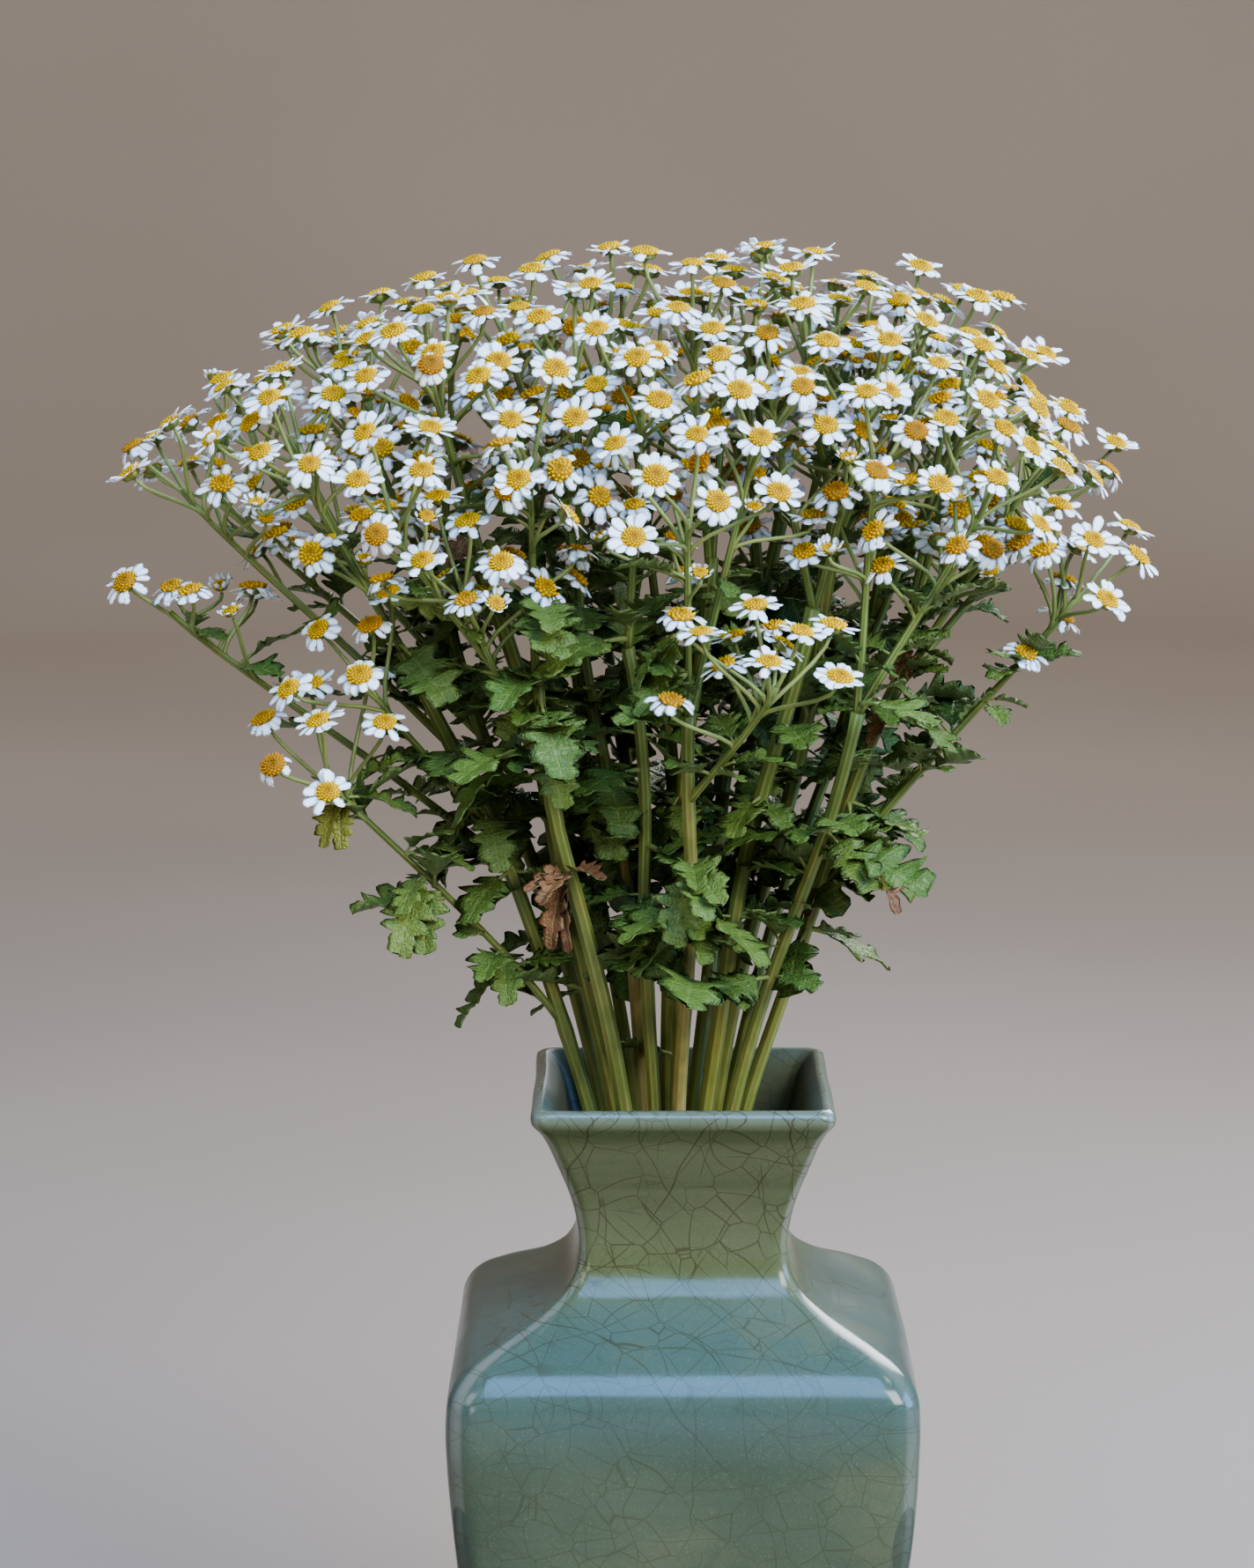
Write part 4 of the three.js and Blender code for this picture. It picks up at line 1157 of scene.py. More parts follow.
# In the photograph: x, y and height above the rim, length, tone, curl and how many
SEEN_LEAVES = [
    (-42, -44, 74, 17, 1.6, 0.9, 3), (-35, -40, 79, 15, 1.55, 0.8, 2), (68, -22, 144, 10, 1.6, 0.8, 2),
    (63, -17, 125, 10, 1.6, 0.9, 2), (38, -18, 68, 11, 1.6, 0.7, 2), (76, -30, 78, 22, 1.5, 0.5, 1),
    (72, -27, 87, 24, 0.6, 0.1, 2), (59, -27, 86, 26, 1.05, 0.1, 2), (-85, -42, 169, 28, 1.0, 0, 1),
    (-87, -46, 74, 26, 0.8, 0.2, 3), (-77, -40, 84, 20, 0.7, 0.3, 2), (-71, -35, 181, 14, 1.6, 0.6, 1),
    (-68, -72, 117, 34, 0.55, 0, 1), (9, -72, 78, 25, 0.5, 0.2, 4), (14, -68, 66, 21, 0.3, 0.2, 3),
    (-32, -62, 119, 24, 0.55, 0.1, 3), (-42, -70, 164, 27, 0.5, 0, 3), (-65, -48, 45, 22, 0.4, 0.1, 2),
    (-11, -8, 16, 24, 0.05, 0, 1), (105, 20, 202, 20, 0.3, 0, 3), (-148, -30, 153, 14, 0.4, 0.1, 2),
    (104, -30, 147, 20, 0.45, 0, 3), (-110, -50, 101, 16, 1.1, 0.2, 2), (29, -30, 57, 20, 0.6, 0.1, 2),
    (-12, -75, 146, 24, 0.35, 0, 3), (-9, -40, 53, 22, 0.15, 0.1, 3), (35, -30, 84, 26, 0.2, 0, 3),
    (-96, -45, 105, 22, 0.6, 0.1, 2), (80, -20, 127, 24, 0.5, 0, 3), (53, -32, 114, 24, 0.35, 0.1, 3),
    (-24, -75, 157, 24, 0.45, 0, 2), (-64, -52, 176, 24, 0.35, 0, 2), (20, -60, 120, 22, 0.3, 0.1, 2),
]


def inside_box(point, margin=BOX_MARGIN):
    low, high = cad_box
    return all(low[i] + margin * MM < point[i] * MM < high[i] - margin * MM for i in range(3))


def dress_head(head, rng, age):
    """What a head looks like: its petals, its disc and its tone, by its age from 0, fresh, to 1, old."""
    petals = int(rng.integers(*HEAD_PETALS))
    head.petals = petals
    lost = sum(rng.random() < always + older * age for always, older in PETAL_LOSSES)
    head.gaps = set(rng.choice(petals, int(lost), replace=False).tolist())
    head.reach = PETAL_REACH - SHORTER_REACH * rng.random() ** 2
    head.width = PETAL_WIDTH * (USUAL_PETALS / petals) ** 0.6
    head.lift = rng.normal(*HEAD_LIFT) - OLD_DROOP * age
    head.bend = rng.normal(*HEAD_BEND) + OLD_BEND * age
    head.disc = DISC_FINE_RADIUS * rng.uniform(*HEAD_DISCS)
    head.tone = min(FRESH_TONES * rng.random() + OLD_TONE * age, 1)
    head.green = rng.random()
    return head


def young_head(head, rng):
    """Small head that has just opened, its short petals still standing up."""
    head.petals = int(rng.integers(*YOUNG_PETALS))
    head.gaps = set()
    head.reach = rng.uniform(*YOUNG_REACH)
    head.width = YOUNG_WIDTH
    head.lift = rng.uniform(*YOUNG_LIFT)
    head.bend = rng.uniform(*YOUNG_BEND)
    head.disc = DISC_FINE_RADIUS * rng.uniform(*YOUNG_DISCS)
    head.tone = 0.0
    head.green = rng.random()
    return head


def plan_lower_heads(sprays, heads, rng):
    """Heads under the canopy, older or just opened, wherever they find room."""
    places = [np.array(head.place) for head in heads]
    roots = [np.array(head.root) for head in heads]
    lower = []
    for spray in sprays:
        found = 0
        for _ in range(LOWER_TRIES):
            root = back_from_tip(spray.line, rng.uniform(*LOWER_ROOTS_BACK))
            azimuth = rng.uniform(0, 2 * math.pi)
            outward = Vector((math.cos(azimuth), math.sin(azimuth), 0))
            place = root + rng.uniform(*LOWER_OUT) * outward + Vector((0, 0, rng.uniform(*LOWER_UP)))
            lean = LOWER_SPLAY * outward + Vector(LOWER_FACING)
            facing = (lean + LOWER_SCATTER * Vector(rng.normal(size=3))).normalized()
            spot = np.array([place], float)
            off_heads = np.linalg.norm(np.array(places) - spot, axis=1).min()
            off_stalks = distances_to_rods(spot, np.array(roots), np.array(places)).min()
            too_low = place.z - RIM_HEIGHT < dome_shape(place.x, place.y)[0] - LOWER_DEEPEST
            crowded = off_heads < LOWER_ROOM or off_stalks < LOWER_STALK_ROOM
            if crowded or too_low or not inside_box(place, LOWER_OFF_BOX):
                continue
            turn = rng.uniform(0, FULL_TURN)
            head = SimpleNamespace(
                stem=spray.stem, spray=spray, place=place, facing=facing, root=root, turn=turn
            )
            young = rng.random() < YOUNG_SHARE
            lower.append(young_head(head, rng) if young else dress_head(head, rng, rng.beta(*LOWER_AGES)))
            places.append(spot[0])
            roots.append(np.array(root))
            found += 1
            if found == LOWER_HEADS_EACH:
                break
    return lower


def dress_leaf(leaf, rng, tone):
    """How a leaf folds, droops, rolls and waves. A tone near 1 is yellow, and one near 1.5 dry."""
    leaf.fold = LEAF_FOLD + rng.normal(*LEAF_FOLD_MORE)
    leaf.droop = LEAF_DROOP + rng.normal(0, LEAF_DROOP_SPREAD)
    leaf.roll = rng.normal(0, LEAF_ROLL_SPREAD)
    leaf.wave = rng.uniform(0, FULL_TURN)
    leaf.tone = tone
    return leaf


def small_leaf(stem, root, way, length, places, rng):
    """A small leaf, or None where it would reach into the heads or out of the part's box."""
    direction = way.normalized()
    tip = root + length * direction
    if tip.z - RIM_HEIGHT > dome_shape(tip.x, tip.y)[0] - LEAVES_BELOW_DOME or not inside_box(tip):
        return None
    if distances_to_rods(places, np.array([root], float), np.array([tip], float)).min() < LEAF_OFF_HEADS:
        return None
    leaf = SimpleNamespace(stem=stem, root=root, direction=direction, length=length)
    return dress_leaf(leaf, rng, rng.beta(*SMALL_LEAF_TONES))


def leaf_clump(stem, root, azimuth, rise, lengths, places, rng):
    """Leaves that share a joint, each turned a little away from the others."""
    leaves = []
    for k, length in enumerate(lengths):
        fan = CLUMP_FAN * ((k + 1) // 2) * (-1) ** k
        turned = azimuth + fan + rng.normal(0, CLUMP_TURN_SPREAD)
        way = Vector((math.cos(turned), math.sin(turned), rise + rng.normal(0, CLUMP_RISE_SPREAD)))
        leaves.append(small_leaf(stem, root, way, length, places, rng))
    return leaves


def clump_lengths(clumps, rng):
    """Lengths of the leaves of one clump."""
    shares = rng.uniform(clumps.least, 1, rng.integers(*clumps.leaves))
    return (shares * rng.uniform(*clumps.lengths)).tolist()


def plan_small_leaves(sprays, blooms, rng):
    """Clumps of leaves in a spiral up every stem, and along its branches."""
    places = np.array([bloom.place for bloom in blooms], float)
    leaves = []
    for number in range(len(STEM_SITES)):
        forks = [spray.fork for spray in sprays if spray.stem == number]
        top = max([*forks, STEM_TOP_LEAST])
        leafy = FRONT_STEM_LEAVES if STEM_SITES[number][1] < FRONT_STEMS_BEFORE else 1
        azimuth = rng.uniform(0, FULL_TURN)
        height = rng.uniform(*STEM_CLUMPS.first)
        while height < top:
            grown = min(max((height - BARE_BELOW) / FULL_LEAF_RISE, LEAST_LEAFY), 1)
            if rng.random() < leafy * grown:
                lengths = clump_lengths(STEM_CLUMPS, rng)
                rise = rng.uniform(*STEM_CLUMPS.rise)
                root = stem_point(number, height)
                leaves += leaf_clump(number, root, azimuth, rise, lengths, places, rng)
            azimuth += GOLDEN_ANGLE
            height += rng.uniform(*STEM_CLUMPS.apart)
    for spray in sprays:
        azimuth = rng.uniform(0, FULL_TURN)
        distance = rng.uniform(*BRANCH_CLUMPS.first)
        length = sum((b - a).length for a, b in zip(spray.line, spray.line[1:]))
        while distance < length:
            lengths = clump_lengths(BRANCH_CLUMPS, rng)
            rise = rng.uniform(*BRANCH_CLUMPS.rise)
            root = back_from_tip(spray.line, distance)
            leaves += leaf_clump(spray.stem, root, azimuth, rise, lengths, places, rng)
            azimuth += GOLDEN_ANGLE
            distance += rng.uniform(*BRANCH_CLUMPS.apart)
    return [leaf for leaf in leaves if leaf]


def nearest_growth(target, length, lines):
    """Number of the line that something grows from and its point, a length away and not above it."""
    spots = [
        (abs((point - target).length - length) + max(point.z - target.z, 0), number, point)
        for number, points in lines
        for point in points
    ]
    return min(spots, key=lambda spot: spot[0])[1:]


def plan_seen_leaves(sprays, rng):
    """The leaves that stand out in the photograph, in clumps that fan out across the view."""
    lines = [(spray.stem, spray.line) for spray in sprays]
    for number in range(len(STEM_SITES)):
        top = round(max([STEM_TOP_LEAST, *(spray.fork for spray in sprays if spray.stem == number)]))
        lines.append((number, [stem_point(number, height) for height in range(4, top, 5)]))
    leaves = []
    for x, y, height, length, tone, curl, count in SEEN_LEAVES:
        target = Vector((x, y, RIM_HEIGHT + height))
        stem, root = nearest_growth(target, SEEN_STALK_SHARE * length, lines)
        way = (target - root).normalized()
        for k in range(count):
            fan = SEEN_FAN * ((k + 1) // 2) * (-1) ** k + rng.normal(0, SEEN_FAN_SPREAD)
            nod = rng.normal(0, SEEN_DEPTH_SPREAD)
            direction = Quaternion((0, 1, 0), fan) @ Quaternion((1, 0, 0), nod) @ way
            size = length * rng.uniform(*SEEN_SIZES) if k else length
            leaf = SimpleNamespace(stem=stem, root=root, direction=direction.normalized(), length=size)
            dress_leaf(leaf, rng, tone + rng.normal(0, SEEN_TONE_SPREAD))
            leaf.fold += CURL_FOLD * curl
            leaf.droop += curl
            leaves.append(leaf)
    return leaves


def plan_young_heads(sprays, rng):
    """The heads that have just opened in the photograph, each on the branch nearest to it."""
    young = []
    for x, y, height in SEEN_YOUNG_HEADS:
        place = Vector((x, y, RIM_HEIGHT + height))
        lines = [(i, spray.line) for i, spray in enumerate(sprays)]
        number, root = nearest_growth(place, YOUNG_STALK, lines)
        head = SimpleNamespace(stem=sprays[number].stem, spray=sprays[number], place=place, root=root)
        head.facing = Vector(YOUNG_FACING).normalized()
        head.turn = 0.0
        young.append(young_head(head, rng))
    return young


def grow_green(gathered, number, sprays, blooms, rng):
    """Ridged main stem, its branches, and the stalks and calyces of its heads."""
    line, radii = stem_curve(number, sprays)
    tone = 1.0 if number in STRAW_STEMS else GREEN_STEM_TONES * rng.random()
    add_rods(gathered, [line], [radii], STEM_SIDES, [tone], STEM_RIBS, STEM_RIB_DEPTH)
    own = [spray for spray in sprays if spray.stem == number]
    branch_radii = np.linspace(*BRANCH_FINE_RADII, BRANCH_STEPS)[None]
    if own:
        lines = [spray.line for spray in own]
        tones = rng.random(len(own))
        ribs = (BRANCH_RIBS, BRANCH_RIB_DEPTH)
        add_rods(gathered, lines, branch_radii, BRANCH_SIDES, tones, *ribs, kind=0.5)
    if blooms:
        stalks = []
        for bloom in blooms:
            leaving = direction_near(bloom.spray.line, bloom.root)
            stalks.append(stalk_curve(bloom.root, leaving, head_neck(bloom), bloom.facing))
        stalk_radii = np.linspace(*STALK_FINE_RADII, STALK_STEPS)[None]
        add_rods(gathered, stalks, stalk_radii, STALK_SIDES, rng.random(len(blooms)), kind=1.0)
        add_calyces(gathered, blooms)


# Vase: a fine loft through the same outline, uneven by hand
VASE_STEP = 2.2
CORNER_STEPS = 8
SIDE_STEPS = 10
VASE_WOBBLE = 0.22
FOOT_BEVEL = (0, 50.5, 8.5)
FLOOR_MIDDLE = (8, 40, 5)
# The glaze runs thin on the lip: how far below the rim, and over what height it fades
THIN_BELOW_RIM = 1.2
THIN_FADE = 2.4
# Cracks in the glaze, in metres: half width of a line, and each set's way apart and spacing
CRACK_WIDTH = 0.0002
CRACK_LINES = [
    ((0.72, 0.5, 0.6), 0.017), ((-0.62, 0.55, 0.7), 0.021), ((0.96, 0.9, 0.1), 0.015),
    ((0.1, 0.2, 0.97), 0.019),
]


def smooth_rows(rows, step):
    """Smooth curve through rows of numbers, with even speed between uneven rows."""
    rows = np.array(rows, float)
    spans = np.linalg.norm(np.diff(rows[:, :2], axis=0), axis=1)
    slopes = np.diff(rows, axis=0) / spans[:, None]
    before = np.concatenate([slopes[:1], slopes])
    after = np.concatenate([slopes, slopes[-1:]])
    h_before = np.concatenate([spans[:1], spans])[:, None]
    h_after = np.concatenate([spans, spans[-1:]])[:, None]
    tangents = (h_after * before + h_before * after) / (h_before + h_after)
    points = []
    for i, span in enumerate(spans):
        steps = max(2, round(span / step))
        t = (np.arange(steps) / steps)[:, None]
        points.append(
            (2 * t**3 - 3 * t**2 + 1) * rows[i]
            + (t**3 - 2 * t**2 + t) * span * tangents[i]
            + (3 * t**2 - 2 * t**3) * rows[i + 1]
            + (t**3 - t**2) * span * tangents[i + 1]
        )
    return np.concatenate([*points, rows[-1:]])


def heading(angle):
    return np.array([math.cos(angle), math.sin(angle)])


def square_ring():
    """Ring of a rounded square: parts of the straight reach, parts of the corner, and corner closeness."""
    reach, arc, closeness = [], [], []
    quarter = math.pi / 2
    for corner in range(4):
        middle = math.pi / 4 + corner * quarter
        start = heading(middle) * math.sqrt(2)
        end = heading(middle + quarter) * math.sqrt(2)
        for k in range(CORNER_STEPS + 1):
            off = (k / CORNER_STEPS - 0.5) * math.pi / 2
            reach.append(start)
            arc.append(heading(middle + off))
            closeness.append(math.cos(off) ** 2)
        for k in range(1, SIDE_STEPS):
            share = k / SIDE_STEPS
            reach.append(start + (end - start) * share)
            arc.append(heading(middle + math.pi / 4))
            closeness.append(0.5 * max(0, 1 - 4 * min(share, 1 - share)))
    return np.array(reach), np.array(arc), np.array(closeness)


def make_vase(material):
    rows = smooth_rows([FOOT_BEVEL, *VASE_OUTSIDE, *VASE_INSIDE, FLOOR_MIDDLE], VASE_STEP)
    rows[:, 0] = np.clip(rows[:, 0], 0, RIM_HEIGHT)
    reach, arc, closeness = square_ring()
    height, half, radius = (rows[:, k, None, None] for k in range(3))
    flat = (half - radius) * reach[None] + radius * arc[None]
    turn = np.arctan2(reach[:, 1], reach[:, 0])[None]
    level = rows[:, :1]
    slow = np.sin(2 * turn + level / 23) + 0.7 * np.sin(3 * turn - level / 15 + 1)
    wobble = VASE_WOBBLE * (slow + 0.5 * np.sin(7 * turn + level / 9))
    wobble *= np.clip(level / 12, 0, 1)
    uneven = flat + wobble[..., None] * arc[None]
    points = np.concatenate([uneven, np.broadcast_to(height, (*flat.shape[:2], 1))], -1)
    top = np.argmax(rows[:, 0])
    inside = (np.arange(len(rows)) > top).astype(float)[:, None]
    thin = np.exp(-(((level - RIM_HEIGHT + THIN_BELOW_RIM) / THIN_FADE) ** 2))
    looks = looks_of(level / RIM_HEIGHT, closeness[None], thin, inside)
    vase = Gathered()
    vase.add(points.reshape(1, -1, 3), rod_faces(len(rows), len(reach)), looks.reshape(1, -1, 4))
    return vase.make("celadon_vase", material, cad_box)


class Shader:
    """Nodes of one material, gathered round its one Principled shader."""

    def __init__(self, name, **settings):
        self.material = bpy.data.materials.new(name)
        self.material.use_nodes = True
        tree = self.material.node_tree
        self.nodes = tree.nodes
        self.links = tree.links
        self.nodes.clear()
        self.principled = self.nodes.new("ShaderNodeBsdfPrincipled")
        output = self.nodes.new("ShaderNodeOutputMaterial")
        self.links.new(self.principled.outputs["BSDF"], output.inputs["Surface"])
        for socket, value in settings.items():
            self.feed(self.principled, socket.replace("_", " "), value)

    def feed(self, node, socket, value):
        """A value goes on a node's socket, or a link where it is another node's output."""
        if isinstance(value, bpy.types.NodeSocket):
            self.links.new(value, node.inputs[socket])
        else:
            node.inputs[socket].default_value = value

    def look(self):
        """The four numbers that each point of a piece carries."""
        attribute = self.nodes.new("ShaderNodeAttribute")
        attribute.attribute_name = "look"
        parts = self.nodes.new("ShaderNodeSeparateColor")
        self.links.new(attribute.outputs["Color"], parts.inputs["Color"])
        return [*(parts.outputs[name] for name in ("Red", "Green", "Blue")), attribute.outputs["Alpha"]]

    def place(self, *scale):
        """Coordinates of the piece in metres, stretched."""
        coordinates = self.nodes.new("ShaderNodeTexCoord")
        mapping = self.nodes.new("ShaderNodeMapping")
        mapping.inputs["Scale"].default_value = scale
        self.links.new(coordinates.outputs["Object"], mapping.inputs["Vector"])
        return mapping.outputs["Vector"]

    def math(self, operation, *values):
        node = self.nodes.new("ShaderNodeMath")
        node.operation = operation
        for i, value in enumerate(values):
            self.feed(node, i, value)
        return node.outputs[0]

    def times(self, first, second):
        return self.math("MULTIPLY", first, second)

    def vectors(self, operation, *values, output="Vector"):
        """The same for vectors, or for one number that is worked out from them."""
        node = self.nodes.new("ShaderNodeVectorMath")
        node.operation = operation
        for i, value in enumerate(values):
            self.feed(node, i, value)
        return node.outputs[output]

    def rise(self, value, low, high, start=0.0, end=1.0):
        """A smooth change from start to end while the value goes from low to high."""
        node = self.nodes.new("ShaderNodeMapRange")
        node.interpolation_type = "SMOOTHSTEP"
        self.feed(node, "Value", value)
        for socket, number in (("From Min", low), ("From Max", high), ("To Min", start), ("To Max", end)):
            self.feed(node, socket, number)
        return node.outputs["Result"]

    def blend(self, share, first, second):
        node = self.nodes.new("ShaderNodeMix")
        node.data_type = "RGBA"
        self.feed(node, 0, share)
        for socket, colour in ((6, first), (7, second)):
            self.feed(node, socket, colour if isinstance(colour, bpy.types.NodeSocket) else (*colour, 1))
        return node.outputs[2]

    def noise(self, vector, scale, detail, output="Fac"):
        node = self.nodes.new("ShaderNodeTexNoise")
        for socket, value in (("Vector", vector), ("Scale", scale), ("Detail", detail)):
            self.feed(node, socket, value)
        return node.outputs[output]

    def net(self, vector, scale):
        """Distance from the edges of irregular cells."""
        node = self.nodes.new("ShaderNodeTexVoronoi")
        node.feature = "DISTANCE_TO_EDGE"
        self.feed(node, "Vector", vector)
        self.feed(node, "Scale", scale)
        return node.outputs["Distance"]

    def bent(self, vector, scale, amount):
        """Coordinates bent sideways by noise."""
        noise = self.noise(vector, scale, 0.0, output="Color")
        offset = self.vectors("SUBTRACT", noise, (0.5, 0.5, 0.5))
        return self.vectors("MULTIPLY_ADD", offset, (amount, amount, amount), vector)

    def bump(self, height, distance, strength):
        node = self.nodes.new("ShaderNodeBump")
        for socket, value in (("Distance", distance), ("Strength", strength), ("Height", height)):
            self.feed(node, socket, value)
        self.feed(self.principled, "Normal", node.outputs["Normal"])

    def colour(self, socket):
        self.feed(self.principled, "Base Color", socket)
        return self.material


def petal_material():
    """Cool white petals: fine grooves, greenish at the base, creamy and spotted when old, with undersides
    in painted shade.
    """
    shader = Shader(
        "white_petal", Roughness=0.6, Specular_IOR_Level=0.3, Subsurface_Weight=0.3, Subsurface_Scale=0.0009
    )
    along, across, tone, under = shader.look()
    cream = shader.blend(shader.rise(tone, 0.72, 1), (0.86, 0.91, 0.97), (0.84, 0.8, 0.68))
    base = shader.blend(shader.rise(along, 0, 0.22, 0.6, 0), cream, (0.5, 0.52, 0.24))
    groove = shader.math("COSINE", shader.times(across, 11.0))
    shade = shader.times(shader.rise(groove, 0.2, 1), shader.rise(along, 0.05, 0.5, 0.3, 0.1))
    lined = shader.blend(shade, base, (0.5, 0.56, 0.62))
    fibres = shader.noise(shader.place(1, 1, 1), 900, 3)
    spotted = shader.times(shader.rise(fibres, 0.62, 0.72), shader.rise(tone, 0.6, 1, 0, 0.75))
    aged = shader.blend(spotted, lined, (0.45, 0.3, 0.15))
    shader.bump(shader.math("ADD", groove, fibres), 0.00006, 0.7)
    # Painted shade: the undersides of the petals are painted darker and greener
    return shader.colour(shader.blend(shader.times(under, 0.25), aged, (0.6, 0.65, 0.6)))


def disc_material():
    """Grained yellow discs: deeper in the middle, green in the dimple, orange-brown when old, with painted
    shade between the florets and painted highlights on their tips.
    """
    shader = Shader("yellow_disc", Roughness=0.7, Specular_IOR_Level=0.25)
    out, floret_shade_and_highlight, tone, _ = shader.look()
    fresh = shader.blend(shader.rise(out, 0.2, 0.8), (0.6, 0.33, 0.004), (0.82, 0.52, 0.006))
    old = shader.blend(shader.rise(out, 0.1, 0.9), (0.24, 0.1, 0.01), (0.5, 0.23, 0.016))
    aged = shader.blend(shader.rise(tone, 0.25, 1), fresh, old)
    dimple = shader.blend(shader.rise(out, 0.1, 0.28, 0.75, 0), aged, (0.24, 0.17, 0.015))
    # Painted shade: the feet of the florets, in the gaps between them, are darkened
    gaps = shader.blend(shader.rise(floret_shade_and_highlight, 0, 0.5, 0.82, 0), dimple, (0.2, 0.1, 0.006))
    # Painted highlight: the floret tips are lightened, more on some florets than on others
    highlighted_tips = shader.blend(shader.rise(floret_shade_and_highlight, 0.6, 1, 0, 0.35), gaps, (0.93, 0.67, 0.02))
    grain = shader.noise(shader.place(1, 1, 1), 2600, 2)
    shader.bump(grain, 0.0001, 0.6)
    return shader.colour(shader.blend(shader.rise(grain, 0.35, 0.6, 0.25, 0), highlighted_tips, (0.25, 0.12, 0.01)))


def green_material():
    """Olive stems with pale ridges, yellower low down, and greener stalks and calyces."""
    shader = Shader("green_stem", Roughness=0.5, Specular_IOR_Level=0.35)
    along, ridge, tone, kind = shader.look()
    height = shader.nodes.new("ShaderNodeSeparateXYZ")
    shader.feed(height, "Vector", shader.place(1, 1, 1))
    level = shader.rise(height.outputs["Z"], RIM_HEIGHT * MM, (RIM_HEIGHT + 150) * MM)
    stem = shader.blend(level, (0.2, 0.215, 0.046), (0.11, 0.16, 0.03))
    dry = shader.times(shader.rise(tone, 0.74, 0.95, 0, 0.8), shader.rise(level, 0.9, 0.3))
    straw = shader.blend(dry, stem, (0.37, 0.26, 0.09))
    thin = shader.blend(shader.rise(tone, 0, 1), (0.095, 0.155, 0.03), (0.155, 0.22, 0.048))
    plain = shader.blend(shader.rise(kind, 0.1, 0.9), straw, thin)
    streaks = shader.noise(shader.place(900, 900, 45), 1, 3)
    streaked = shader.blend(shader.rise(streaks, 0.5, 0.68, 0, 0.6), plain, (0.2, 0.12, 0.04))
    ribbed = shader.blend(shader.rise(ridge, 0.3, 1, 0, 0.55), streaked, (0.32, 0.36, 0.13))
    blotches = shader.noise(shader.place(1, 1, 1), 60, 2)
    shader.bump(streaks, 0.0001, 0.5)
    return shader.colour(shader.blend(shader.rise(blotches, 0.32, 0.6, 0.4, 0), ribbed, (0.07, 0.1, 0.02)))


def leaf_material():
    """Green leaves with pale veins and paler undersides, some yellow and some dried brown."""
    shader = Shader("feverfew_leaf", Roughness=0.5, Specular_IOR_Level=0.4)
    along, across, tone, under = shader.look()
    blotches = shader.noise(shader.place(1, 1, 1), 130, 3)
    green = shader.blend(shader.rise(tone, 0, 0.9), (0.05, 0.108, 0.015), (0.118, 0.172, 0.03))
    mottled = shader.blend(shader.rise(blotches, 0.4, 0.65, 0, 0.5), green, (0.07, 0.115, 0.02))
    brown = shader.blend(shader.rise(blotches, 0.35, 0.65), (0.11, 0.035, 0.016), (0.26, 0.12, 0.06))
    yellowed = shader.blend(shader.rise(tone, 0.82, 1.05), mottled, (0.2, 0.2, 0.035))
    aged = shader.blend(shader.rise(tone, 1.15, 1.45), yellowed, brown)
    away = shader.math("ABSOLUTE", across)
    midrib = shader.rise(away, 0.02, 0.14, 0.8, 0)
    veins = shader.math("COSINE", shader.times(shader.math("SUBTRACT", along, 0.36), 36.0))
    side_veins = shader.rise(veins, 0.86, 1, 0, 0.5)
    vein = shader.math("MAXIMUM", midrib, side_veins)
    veined = shader.blend(shader.times(vein, 0.34), aged, (0.21, 0.28, 0.09))
    fine = shader.net(shader.place(1, 1, 1), 620)
    netted = shader.blend(shader.rise(fine, 0.02, 0.12, 0.22, 0), veined, (0.2, 0.27, 0.08))
    height = shader.math("SUBTRACT", shader.rise(fine, 0, 0.2), shader.times(vein, 1.6))
    shader.bump(height, 0.00022, 0.8)
    return shader.colour(shader.blend(shader.times(under, 0.5), netted, (0.18, 0.235, 0.1)))


def crack_cells(shader, place, scale, bend, width):
    """Cracks round irregular cells, bent a little."""
    return shader.rise(shader.net(shader.bent(place, scale * 0.5, bend), scale), width * 0.3, width, 1, 0)


def crack_lines(shader, place, across, spacing, width):
    """Long cracks that run side by side: across says which way they lie apart."""
    apart = shader.vectors("DOT_PRODUCT", place, across, output="Value")
    wave = shader.math("COSINE", shader.times(apart, 2 * math.pi / spacing))
    edge = math.cos(2 * math.pi * width / spacing)
    return shader.rise(wave, edge, 1 - 0.25 * (1 - edge), 0, 1)


def glaze_cracks(shader, place):
    """The whole crackle: sets of long crossing lines, each worn away in places, and nets of cells."""
    drift = shader.bent(shader.bent(place, 14, 0.026), 60, 0.005)
    cracks = crack_cells(shader, place, 84, 0.007, 0.022)
    cracks = shader.times(cracks, shader.rise(shader.noise(place, 31, 2), 0.36, 0.56, 0.25, 0.9))
    for number, (across, spacing) in enumerate(CRACK_LINES):
        lines = crack_lines(shader, drift, across, spacing, CRACK_WIDTH)
        patches = shader.noise(shader.place(1, 1, 1 + 0.2 * number), 27 + 5 * number, 1)
        shown = shader.rise(patches, 0.4, 0.56, 0.1, 1)
        cracks = shader.math("MAXIMUM", cracks, shader.times(lines, shown))
    small_cells = crack_cells(shader, place, 170, 0.003, 0.034)
    fine = shader.times(small_cells, shader.rise(patches, 0.46, 0.6, 0, 0.45))
    return shader.math("MAXIMUM", cracks, fine)


